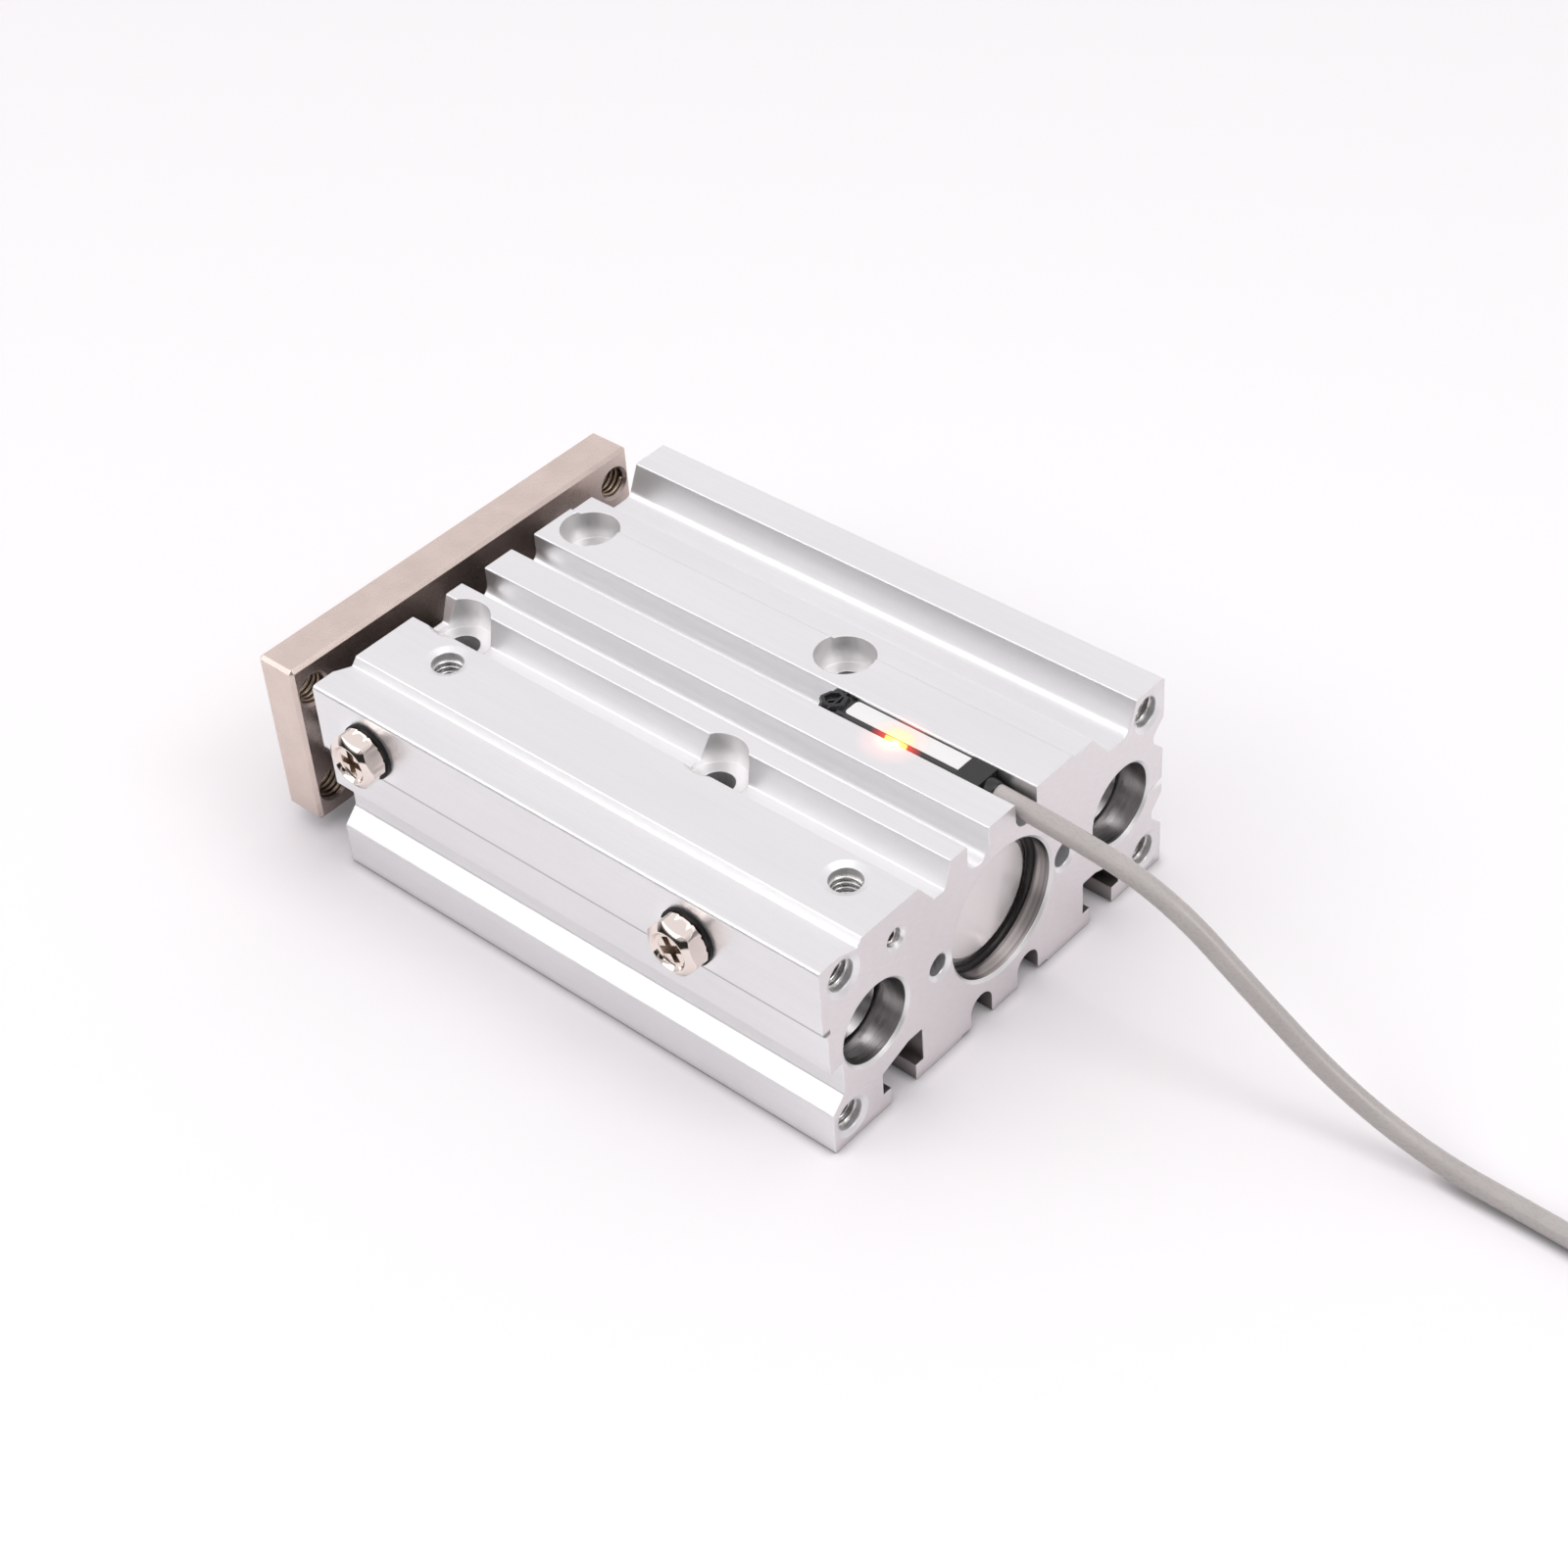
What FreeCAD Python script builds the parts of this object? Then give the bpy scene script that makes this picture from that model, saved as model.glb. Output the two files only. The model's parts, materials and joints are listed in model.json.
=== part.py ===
import FreeCAD, Part
import math
import os
from FreeCAD import Vector

# Guided pneumatic cylinder: one piston and two guide rods push an end plate out of an
# extruded aluminium housing.  Lengths are in millimetres.
# Frame: +X is the way the end plate extends, +Y is the side with the port plugs, +Z is up.
# The origin is in the middle of the housing's bottom.  The model is at rest, retracted.

X_DIR = Vector(1, 0, 0)
Y_DIR = Vector(0, 1, 0)
Z_DIR = Vector(0, 0, 1)

# ---- Fits and small details ------------------------------------------------------------
RUNNING_FIT = 0.05        # radial gap between a moving piece and what guides it
SEAT_FIT = 0.02           # radial gap of pieces that are pressed or sealed in place
STOP_GAP = 0.3            # gap left between the piston and a bumper at each end
MOUTH_CHAMFER = 0.4       # countersink at the mouth of a hole: depth, and width if no other
EDGE_ROUND = 0.25         # small radius on the extrusion's edges

# ---- Drive -----------------------------------------------------------------------------
STROKE = 50.0
BORE = 16.0
ROD_DIAMETER = 8.0
PISTON_LENGTH = 12.6
BUMPER_PROUD = 1.0        # bumper thickness that stands out of its cover
BUMPER_SEAT = 0.6         # depth of the bumper's seat in the cover
HEAD_RECESS_DEPTH = 6.6
HEAD_RECESS_DIAMETER = 18.8
ROD_COVER_LENGTH = 8.4
ROD_COVER_NOSE = 3.6      # length of the rod cover inside the bore
ROD_RECESS_DIAMETER = 18.0
CIRCLIP_THICKNESS = 1.0
CIRCLIP_GROOVE_DEPTH = 0.9
CIRCLIP_SLACK = 0.1
CIRCLIP_WIDTH = 1.5       # radial width of the clip beyond its groove
CIRCLIP_OPENING = 40.0    # degrees of the clip left open
CIRCLIP_EAR_SPREAD = 1.3  # ears stand at this share of half the opening
CIRCLIP_EAR_RADIUS = 1.5
CIRCLIP_EYE_RADIUS = 0.6
FRONT_LIP = 1.7           # from the circlip groove to the housing's front face
WIRE_RING_RADIUS = 0.6
WIRE_RING_SETBACK = 3.3   # from the rear face to the middle of the wire
WIRE_RING_OPENING = 24.0  # degrees of the ring left open
WIRE_RING_TURN = 135.0    # the opening's place, in degrees from straight below
HEAD_COVER_RAISED = 0.55  # boss on the outside of the head cover
SEAL_GROOVE_DEPTH = 1.2
SEAL_GROOVE_WIDTH = 1.5
REAR_BUMPER_RADIUS = 5.4
FRONT_BUMPER_RADIUS = 6.5
ROD_SEAL_DEPTH = 2.2      # radial section of the rod seal
ROD_SEAL_LIP = 0.4
ROD_SEAL_LENGTH = 3.2
ROD_SEAL_SETBACK = 1.1    # from the rod cover's front face

# ---- Piston and rod --------------------------------------------------------------------
PISTON_STEP = 0.8         # relief at both ends, which lets the air in
PISTON_STEP_DEPTH = 1.0
PISTON_BACK_LAND = 1.6
WEAR_RING_WIDTH = 2.6
WEAR_RING_DEPTH = 0.8
MAGNET_WIDTH = 2.4
MAGNET_DEPTH = 2.2
MAGNET_COVER = 0.5        # the magnet lies this far below the piston's surface
PISTON_LAND = 0.9         # between the grooves
PISTON_SEAL_WIDTH = 2.4
PISTON_SEAL_DEPTH = 1.6
PISTON_SEAL_HOLLOW = 0.4
ROD_SPIGOT_RADIUS = 2.5
ROD_SHOULDER_DEPTH = 3.0  # depth of the rod's seat in the piston
RIVET_RADIUS = 3.4
RIVET_HEIGHT = 1.0
RIVET_SETBACK = 0.4

# ---- Housing ---------------------------------------------------------------------------
HOUSING_WIDTH = 64.0      # across the lobes
HOUSING_HEIGHT = 30.0
HOUSING_LENGTH = (HEAD_RECESS_DEPTH + 2 * BUMPER_PROUD + 2 * STOP_GAP + PISTON_LENGTH + STROKE
                  + ROD_COVER_LENGTH + CIRCLIP_THICKNESS + CIRCLIP_SLACK + FRONT_LIP)
CORNER_ROUND = 0.6
AXIS_Z = HOUSING_HEIGHT / 2
REAR = -HOUSING_LENGTH / 2
FRONT = HOUSING_LENGTH / 2

SWITCH_SLOT_WIDTH = 4.0
SWITCH_SLOT_DEPTH = 4.4
SWITCH_SLOT_PITCH = 9.1

LOBE_WIDTH = 5.7          # flat above the rear threads on the plain side
LOBE_HEIGHT = 6.2         # height of the corner lobes on both sides
TOP_GROOVE_DEPTH = 4.35   # groove beside the lobe on the plain side
TOP_GROOVE_WALL = 1.9
TOP_GROOVE_FLOOR = 3.7
TOP_GROOVE_RAMP = 3.2
TOP_GROOVE_COVE = 1.5
LEDGE_WIDTH = 3.6         # low strip between the groove and the middle land
LEDGE_DROP = 0.4

V_GROOVE_Y = 9.5          # inner edge of the groove beside the port land
V_GROOVE_DEPTH = 3.7
V_GROOVE_WALL = 1.3
V_GROOVE_FLOOR = 1.8
V_GROOVE_RAMP = 2.8
PORT_LAND_MARGIN = 6.7    # from the flat that holds the top ports to the housing's side
PORT_NOTCH_DEPTH = 1.1
PORT_NOTCH_WALL = 0.9
PORT_NOTCH_RAMP = 3.1

PORT_SIDE_PROUD = 0.8     # the side ports' face stands this far beyond the lobes
SIDE_STEP_DROP = 9.9      # lower edge of that face, from the top face
CHANNEL_DROP = 16.6       # channel under the side with the ports, from the top face
CHANNEL_DEPTH = 2.2
FLUTE_DEPTH = 2.0         # flutes on the plain side
FLUTE_FLOOR = 1.2
SIDE_NOTCH_PLACE = 0.26   # narrow notch's height between the flutes, from the lower one
SIDE_NOTCH_MOUTH = 1.2
SIDE_NOTCH_FLOOR = 0.4

T_SLOT_MARGIN = 12.6      # from a T-slot's middle to the housing's side
T_SLOT_MOUTH = 4.6
T_SLOT_WIDTH = 7.4
T_SLOT_LIP = 2.5
T_SLOT_DEPTH = 7.6
T_SLOT_BEVEL = 1.7        # the ceiling drops by this much under the guide bore
BOTTOM_RELIEF = 0.4       # the strips outside the two switch slots are raised by this much
BOTTOM_RELIEF_WIDTH = 17.2

# ---- Guides ----------------------------------------------------------------------------
GUIDE_MARGIN = 8.4        # from a guide rod's axis to the housing's side
GUIDE_ROD_DIAMETER = 10.0
GUIDE_ROD_SETBACK = 4.2   # from the housing's rear face to the rod's end
BUSH_WALL = 0.8
FRONT_BUSH_LENGTH = 12.0
INNER_BUSH_LENGTH = 10.0
BUSH_SETBACK = 0.8        # front bush below the housing's front face
BUSH_SPACING = 4.2        # between the two bushes of one rod
GUIDE_CLEARANCE = 0.6     # radial room round the rod behind the bushes

# ---- End plate -------------------------------------------------------------------------
PLATE_GAP = 6.6
PLATE_THICKNESS = 6.4
PLATE_WIDTH = HOUSING_WIDTH - 2.0
PLATE_HEIGHT = HOUSING_HEIGHT - 5.0
PLATE_EDGE = 0.5
PLATE_SPIGOT = 0.8        # depth of the seats that centre the rods
PLATE_TAP_MARGIN_Y = 3.1  # from a threaded hole's axis to the plate's edge
PLATE_TAP_MARGIN_Z = 4.5

# ---- Fasteners: tapping drill, clearance and head radius, head height, key, reach --------
M3_TAP = 1.25
M4_TAP = 1.65
M5_TAP = 2.1
ROD_BOLT = {"tap": M4_TAP, "clear": 2.25, "head": 3.5, "height": 2.8, "key": 2.5, "reach": 14.0}
GUIDE_BOLT = {"tap": M5_TAP, "clear": 2.75, "head": 4.25, "height": 3.5, "key": 3.0, "reach": 16.0}
HEAD_ROOM = 0.25          # room round and above a sunk bolt head
KEY_DEPTH = 0.6           # depth of a socket, as a share of the head's height

# ---- Mounting holes --------------------------------------------------------------------
BODY_HOLE_RADIUS = 2.15
BODY_HOLE_HEAD_RADIUS = 4.0
BODY_HOLE_HEAD_DEPTH = 4.5
BODY_HOLE_SPACING_X = 44.0
BODY_HOLE_SPACING_Y = 24.0
BODY_HOLE_FROM_FRONT = 5.0
REAR_TAP_MARGIN_Y = 3.3   # from a threaded hole's axis to the housing's side
REAR_TAP_MARGIN_Z = 3.6   # and to its top or bottom face
REAR_TAP_DEPTH = 12.0
REAR_TAP_CHAMFER = 0.75   # width of the countersink
DOWEL_RADIUS = 1.5
DOWEL_CHAMFER = 0.6
DOWEL_DEPTH = 6.0
DOWEL_SLOT_LENGTH = 3.5
DRILL_TIP = 0.6           # depth of a drill's point, as a share of its radius

# ---- Air ports -------------------------------------------------------------------------
PORT_MARGIN = 13.0        # from a top port's axis to the housing's side
SIDE_PORT_DROP = 5.8      # side ports and gallery, from the top face
GALLERY_DROP = 4.7
TOP_PORT_FROM_FRONT = 10.0
TOP_PORT_FROM_REAR = 7.7
SIDE_PORT_FROM_FRONT = 9.2
SIDE_PORT_FROM_REAR = 20.0
PORT_DEPTH = 6.0
PORT_CHAMFER = 0.95
PASSAGE_RADIUS = 0.8
PASSAGE_SETBACK = 1.0     # from a bore end to the passage's axis
PASSAGE_ANGLE = 45.0      # where the passage meets the bore, in degrees from level
GALLERY_MARGIN = 12.4
GALLERY_RADIUS = 1.0
GALLERY_PLUG_LENGTH = 3.0
GALLERY_PLUG_SETBACK = 0.8
PLUG_AF = 7.0             # port plug's width across flats
PLUG_HEAD_HEIGHT = 3.1
PLUG_CHAMFER = 0.35       # at the corners of the hexagon
PLUG_DISH = 0.3           # hollow in the middle of the head
PLUG_RIM = 0.55
PLUG_THREAD_LENGTH = 4.0
PLUG_RECESS_WIDTH = 1.1
PLUG_RECESS_SPAN = 4.2
PLUG_RECESS_DEPTH = 1.3
GASKET_THICKNESS = 0.5
GASKET_RADIUS = 3.9
GASKET_BORE = 2.6         # radius of the hole in the gasket
FRONT_PLUG_TURN = 88.0    # how far each plug is turned about its axis, in degrees
REAR_PLUG_TURN = 74.0

# ---- Position sensor -------------------------------------------------------------------
SENSOR_SETBACK = 5.8      # from the housing's rear face to the sensor's cable end
SENSOR_LENGTH = 25.1
SENSOR_TOP = 0.35         # below the housing's top face
SENSOR_CLEARANCE = 0.05   # at each side, in the switch slot
SENSOR_TAIL = 3.65        # full-height block at the cable end
SENSOR_LABEL_DROP = 0.15  # the label's flat lies this far below the tail block
SENSOR_EDGE_SLOPE = 1.0   # bevel along the side that shows the lamp
SENSOR_HEAD = 2.6         # clamp end, with the set screw
LENS_LENGTH = 3.4
LENS_FROM_TAIL = 11.3
LENS_HEIGHT = 0.9
SET_SCREW_RADIUS = 1.05
SET_SCREW_SLOT = 0.4
SET_SCREW_POINT = 0.7     # length of the screw's cone point
SET_SCREW_TURN = 50.0

# ---- Sensor lead -----------------------------------------------------------------------
CORD_DIAMETER = 2.7
CORD_Z = HOUSING_HEIGHT - 2.0
CORE_DIAMETER = 1.0
CORE_LENGTH = 8.0
CORE_SPACING = 1.1        # between the two cores' axes
COIL_MEAN_RADIUS = 15.0
COIL_FROM_REAR = 90.0     # the coil lies this far behind the housing
LEAD_Y = -8.0             # the lead reaches the coil along this line
BEND_SHARE = 0.45         # how much of a straight run each of its two bends may take
FLOOR_Z = CORD_DIAMETER / 2
UPPER_LAYER_Z = 1.5 * CORD_DIAMETER
LEAD_PATH = [             # distance behind the housing's rear face, Y, Z
    (7.3, -4.6, 27.5),
    (20.5, -4.9, 24.8),
    (32.5, -5.6, 15.8),
    (43.5, -6.7, 7.4),
    (55.5, -7.7, 2.3),
    (67.5, -8.2, FLOOR_Z),
    (79.0, -7.8, FLOOR_Z),
    (COIL_FROM_REAR, LEAD_Y, FLOOR_Z),
]
TAIL_PATH = [
    (COIL_FROM_REAR, LEAD_Y, UPPER_LAYER_Z),
    (97.1, -8.1, UPPER_LAYER_Z - 0.3),
    (104.5, -9.0, FLOOR_Z + 0.3),
    (111.5, -10.6, FLOOR_Z),
]

# ---- Positions along the axis, worked out from the sizes above ------------------------
HEAD_FLOOR = REAR + HEAD_RECESS_DEPTH
PISTON_REAR = HEAD_FLOOR + BUMPER_PROUD + STOP_GAP
PISTON_FRONT = PISTON_REAR + PISTON_LENGTH
ROD_COVER_REAR = PISTON_FRONT + STROKE + STOP_GAP + BUMPER_PROUD
ROD_COVER_FRONT = ROD_COVER_REAR + ROD_COVER_LENGTH
ROD_RECESS_FLOOR = ROD_COVER_REAR + ROD_COVER_NOSE
WEAR_RING_X = PISTON_REAR + PISTON_BACK_LAND
MAGNET_X = WEAR_RING_X + WEAR_RING_WIDTH + PISTON_LAND
PISTON_SEAL_X = MAGNET_X + MAGNET_WIDTH + PISTON_LAND
PLATE_INNER = FRONT + PLATE_GAP
PLATE_OUTER = PLATE_INNER + PLATE_THICKNESS
RODS_FRONT = PLATE_INNER + PLATE_SPIGOT
BORE_RADIUS = BORE / 2
PISTON_RADIUS = BORE_RADIUS - 2 * RUNNING_FIT
HEAD_RECESS_RADIUS = HEAD_RECESS_DIAMETER / 2
ROD_RECESS_RADIUS = ROD_RECESS_DIAMETER / 2
ROD_RADIUS = ROD_DIAMETER / 2
GUIDE_RADIUS = GUIDE_ROD_DIAMETER / 2
BUSH_RADIUS = GUIDE_RADIUS + RUNNING_FIT + BUSH_WALL
SENSOR_Y = -SWITCH_SLOT_PITCH / 2
SENSOR_REAR = REAR + SENSOR_SETBACK
SENSOR_FRONT = SENSOR_REAR + SENSOR_LENGTH
SIDE = HOUSING_WIDTH / 2
PORT_SIDE = SIDE + PORT_SIDE_PROUD
TOP = HOUSING_HEIGHT
GUIDE_Y = SIDE - GUIDE_MARGIN
PORT_Y = SIDE - PORT_MARGIN
SIDE_PORT_Z = TOP - SIDE_PORT_DROP
T_SLOT_Y = SIDE - T_SLOT_MARGIN
COIL_CENTRE = Vector(REAR - COIL_FROM_REAR, LEAD_Y - COIL_MEAN_RADIUS - CORD_DIAMETER / 2, 0)


# ---- Shape helpers ---------------------------------------------------------------------
def turned(profile, base, direction=X_DIR):
    """Solid of revolution.  The profile is a closed loop of (distance along, radius)."""
    points = [Vector(radius, 0, along) for along, radius in profile]
    face = Part.Face(Part.makePolygon(points + points[:1]))
    solid = face.revolve(Vector(0, 0, 0), Z_DIR, 360)
    solid.Placement = FreeCAD.Placement(base, FreeCAD.Rotation(Z_DIR, direction))
    return solid


def on_axis(x, y=0.0):
    """Point on the axis of the bore, or of a guide rod when y is given."""
    return Vector(x, y, AXIS_Z)


def hole(mouth, direction, radius, depth, chamfer=MOUTH_CHAMFER, pointed=False):
    """Cutter for a drilled hole with a countersink and, if pointed, a drill's cone."""
    tool = Part.makeCylinder(radius, depth, mouth, direction)
    if chamfer > 0:
        tool = tool.fuse(Part.makeCone(radius + chamfer, radius, MOUTH_CHAMFER, mouth, direction))
    if pointed:
        tip = Part.makeCone(radius, 0, radius * DRILL_TIP, mouth + direction * depth, direction)
        tool = tool.fuse(tip)
    return tool


def prism(corners, length, direction, placed):
    """Extrude an outline of corners.  Each corner is (a, b, radius), with tangent arcs."""
    edges = []
    count = len(corners)
    starts = []
    ends = []
    for i, (a, b, radius) in enumerate(corners):
        here = placed(a, b)
        to_last = placed(*corners[i - 1][:2]) - here
        to_next = placed(*corners[(i + 1) % count][:2]) - here
        to_last.normalize()
        to_next.normalize()
        half = to_last.getAngle(to_next) / 2
        back = radius / math.tan(half)
        starts.append(here + to_last * back)
        ends.append(here + to_next * back)
        if radius > 0:
            middle = to_last + to_next
            middle.normalize()
            top = here + middle * (radius / math.sin(half) - radius)
            edges.append(Part.Arc(starts[i], top, ends[i]).toShape())
        else:
            edges.append(None)
    outline = []
    for i in range(count):
        if edges[i]:
            outline.append(edges[i])
        following = starts[(i + 1) % count]
        if ends[i].distanceToPoint(following) > 1e-6:
            outline.append(Part.makeLine(ends[i], following))
    return Part.Face(Part.Wire(outline)).extrude(direction * length)


def hexagon(across_flats, length, base, direction, turn=0.0):
    """Hexagonal bar with its first corner turned by an angle in degrees."""
    radius = across_flats / math.sqrt(3)
    points = [Vector(radius * math.cos(math.radians(turn + 60 * i)),
                     radius * math.sin(math.radians(turn + 60 * i)), 0) for i in range(7)]
    bar = Part.Face(Part.makePolygon(points)).extrude(Z_DIR * length)
    bar.Placement = FreeCAD.Placement(base, FreeCAD.Rotation(Z_DIR, direction))
    return bar


def o_ring(x, floor, wall):
    """Round-section seal that fills the gap between a groove's floor and the wall."""
    section = (wall - floor) / 2 - SEAT_FIT
    return Part.makeTorus((wall + floor) / 2, section, on_axis(x), X_DIR)


# ---- Housing ---------------------------------------------------------------------------
def switch_slot(y, face_z, into):
    """Round-bottomed slot walked towards +Y; into is -1 from the top and +1 from below."""
    half = SWITCH_SLOT_WIDTH / 2
    floor = face_z + into * SWITCH_SLOT_DEPTH
    return [(y - half, face_z, EDGE_ROUND), (y - half, floor, half),
            (y + half, floor, half), (y + half, face_z, EDGE_ROUND)]


def t_slot(y):
    """T-slot in the bottom face on the +Y side, walked towards +Y."""
    mouth = T_SLOT_MOUTH / 2
    cavity = T_SLOT_WIDTH / 2
    return [(y - mouth, 0, EDGE_ROUND), (y - mouth, T_SLOT_LIP, 0),
            (y - cavity, T_SLOT_LIP, 0), (y - cavity, T_SLOT_DEPTH, EDGE_ROUND),
            (y - mouth / 2, T_SLOT_DEPTH, 0), (y + cavity, T_SLOT_DEPTH - T_SLOT_BEVEL, EDGE_ROUND),
            (y + cavity, T_SLOT_LIP, 0), (y + mouth, T_SLOT_LIP, 0), (y + mouth, 0, EDGE_ROUND)]


def mirrored(corners):
    return [(-y, z, radius) for y, z, radius in reversed(corners)]


def top_outline():
    """From the plain side's top corner to the port side's top corner."""
    groove = TOP - TOP_GROOVE_DEPTH
    ledge = TOP - LEDGE_DROP
    y1 = -SIDE + LOBE_WIDTH
    y2 = y1 + TOP_GROOVE_WALL
    y3 = y2 + TOP_GROOVE_FLOOR
    y4 = y3 + TOP_GROOVE_RAMP
    y5 = y4 + LEDGE_WIDTH
    v1 = V_GROOVE_Y
    v2 = v1 + V_GROOVE_WALL
    v3 = v2 + V_GROOVE_FLOOR
    v4 = v3 + V_GROOVE_RAMP
    n1 = SIDE - PORT_LAND_MARGIN
    n2 = n1 + PORT_NOTCH_WALL
    n3 = n2 + PORT_NOTCH_RAMP
    floor = TOP - V_GROOVE_DEPTH
    corners = [(-SIDE, TOP, CORNER_ROUND), (y1, TOP, EDGE_ROUND), (y2, groove, TOP_GROOVE_COVE),
               (y3, groove, EDGE_ROUND), (y4, ledge, EDGE_ROUND), (y5, ledge, 0),
               (y5 + LEDGE_DROP, TOP, 0)]
    corners += switch_slot(-SWITCH_SLOT_PITCH / 2, TOP, -1)
    corners += switch_slot(SWITCH_SLOT_PITCH / 2, TOP, -1)
    corners += [(v1, TOP, EDGE_ROUND), (v2, floor, EDGE_ROUND), (v3, floor, EDGE_ROUND),
                (v4, TOP, EDGE_ROUND), (n1, TOP, EDGE_ROUND),
                (n2, TOP - PORT_NOTCH_DEPTH, EDGE_ROUND), (n3, TOP, EDGE_ROUND)]
    return corners


def port_side_outline():
    """Down the side that holds the side ports."""
    step_z = TOP - SIDE_STEP_DROP
    inner = SIDE - CHANNEL_DEPTH
    channel_z = TOP - CHANNEL_DROP
    return [(PORT_SIDE, TOP, CORNER_ROUND), (PORT_SIDE, step_z, EDGE_ROUND),
            (SIDE, step_z - PORT_SIDE_PROUD, EDGE_ROUND), (SIDE, channel_z, EDGE_ROUND),
            (inner, channel_z, EDGE_ROUND),
            (inner, LOBE_HEIGHT + CHANNEL_DEPTH, CORNER_ROUND), (SIDE, LOBE_HEIGHT, EDGE_ROUND),
            (SIDE, 0, EDGE_ROUND)]


def bottom_outline():
    """Along the bottom, from the port side to the plain side."""
    relief = BOTTOM_RELIEF_WIDTH / 2
    half = switch_slot(SWITCH_SLOT_PITCH / 2, 0, 1)
    outer_mouth = half.pop()
    half += [(outer_mouth[0], BOTTOM_RELIEF, EDGE_ROUND), (relief - BOTTOM_RELIEF, BOTTOM_RELIEF, 0),
             (relief, 0, 0)]
    half += t_slot(T_SLOT_Y)
    return list(reversed(mirrored(half) + half))


def plain_side_outline():
    """Up the plain side, with a flute under each lobe and a notch between them."""
    floor = SIDE - FLUTE_DEPTH
    notch = SIDE - CHANNEL_DEPTH
    z1 = LOBE_HEIGHT
    z2 = z1 + FLUTE_DEPTH
    z3 = z2 + FLUTE_FLOOR
    z4 = z3 + FLUTE_DEPTH
    notch_z = z4 + SIDE_NOTCH_PLACE * (TOP - 2 * z4)
    lower = [(-SIDE, z1, EDGE_ROUND), (-floor, z2, CORNER_ROUND), (-floor, z3, CORNER_ROUND),
             (-SIDE, z4, EDGE_ROUND)]
    upper = [(y, TOP - z, radius) for y, z, radius in reversed(lower)]
    mouth = SIDE_NOTCH_MOUTH / 2
    root = SIDE_NOTCH_FLOOR / 2
    gap = [(-SIDE, notch_z - mouth, 0), (-notch, notch_z - root, 0),
           (-notch, notch_z + root, 0), (-SIDE, notch_z + mouth, 0)]
    return [(-SIDE, 0, EDGE_ROUND)] + lower + gap + upper


def side_port(x):
    """Middle of a side port's mouth."""
    return Vector(x, PORT_SIDE, SIDE_PORT_Z)


def gallery_mouth(x):
    """Point on the axis of the drilling that joins the two rear ports."""
    return Vector(x, SIDE - GALLERY_MARGIN, TOP - GALLERY_DROP)


def air_passage(port_x, chamber_x):
    """Slanted drilling from the foot of a top port into the bore."""
    start = Vector(port_x, PORT_Y, SIDE_PORT_Z)
    reach = BORE_RADIUS - PASSAGE_RADIUS / 2
    angle = math.radians(PASSAGE_ANGLE)
    end = Vector(chamber_x, reach * math.cos(angle), AXIS_Z + reach * math.sin(angle))
    return Part.makeCylinder(PASSAGE_RADIUS, (end - start).Length, start, end - start)


def port_cutters():
    tools = []
    for x in (REAR + TOP_PORT_FROM_REAR, FRONT - TOP_PORT_FROM_FRONT):
        tools.append(hole(Vector(x, PORT_Y, TOP), -Z_DIR, M5_TAP, PORT_DEPTH, PORT_CHAMFER, True))
    for x in (REAR + SIDE_PORT_FROM_REAR, FRONT - SIDE_PORT_FROM_FRONT):
        tools.append(hole(side_port(x), -Y_DIR, M5_TAP, PORT_SIDE - PORT_Y))
    tools.append(air_passage(REAR + TOP_PORT_FROM_REAR, HEAD_FLOOR + PASSAGE_SETBACK))
    tools.append(air_passage(FRONT - TOP_PORT_FROM_FRONT, ROD_COVER_REAR - PASSAGE_SETBACK))
    mouth = gallery_mouth(REAR)
    tools.append(hole(mouth, X_DIR, M3_TAP, GALLERY_PLUG_SETBACK + GALLERY_PLUG_LENGTH))
    tools.append(Part.makeCylinder(GALLERY_RADIUS, SIDE_PORT_FROM_REAR, mouth, X_DIR))
    return tools


def drive_cutters():
    """Bore, its two recesses and the two ring grooves."""
    ring_x = REAR + WIRE_RING_SETBACK
    clip_x = ROD_COVER_FRONT
    clip_width = CIRCLIP_THICKNESS + CIRCLIP_SLACK
    return [
        Part.makeCylinder(BORE_RADIUS, HOUSING_LENGTH, on_axis(REAR), X_DIR),
        hole(on_axis(REAR), X_DIR, HEAD_RECESS_RADIUS, HEAD_RECESS_DEPTH),
        hole(on_axis(FRONT), -X_DIR, ROD_RECESS_RADIUS, FRONT - ROD_RECESS_FLOOR),
        Part.makeTorus(HEAD_RECESS_RADIUS, WIRE_RING_RADIUS + SEAT_FIT, on_axis(ring_x), X_DIR),
        Part.makeCylinder(ROD_RECESS_RADIUS + CIRCLIP_GROOVE_DEPTH, clip_width,
                          on_axis(clip_x), X_DIR),
    ]


def guide_cutters():
    """Bush bores from the front, with a narrower clearance bore behind them."""
    tools = []
    depth = BUSH_SETBACK + FRONT_BUSH_LENGTH + BUSH_SPACING + INNER_BUSH_LENGTH
    for y in (-GUIDE_Y, GUIDE_Y):
        tools.append(hole(on_axis(FRONT, y), -X_DIR, BUSH_RADIUS + SEAT_FIT, depth))
        tools.append(hole(on_axis(REAR, y), X_DIR, GUIDE_RADIUS + GUIDE_CLEARANCE,
                          HOUSING_LENGTH - depth))
    return tools


def dowel_pair(centre, direction, across):
    """One round dowel hole and one slotted one, side by side in the Y direction."""
    shift = Vector(0, BODY_HOLE_SPACING_Y / 2, 0)
    spread = across * ((DOWEL_SLOT_LENGTH - 2 * DOWEL_RADIUS) / 2)
    tools = []
    for mouth in (centre + shift, centre - shift - spread, centre - shift + spread):
        tools.append(hole(mouth, direction, DOWEL_RADIUS, DOWEL_DEPTH, DOWEL_CHAMFER))
    return tools


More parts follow.
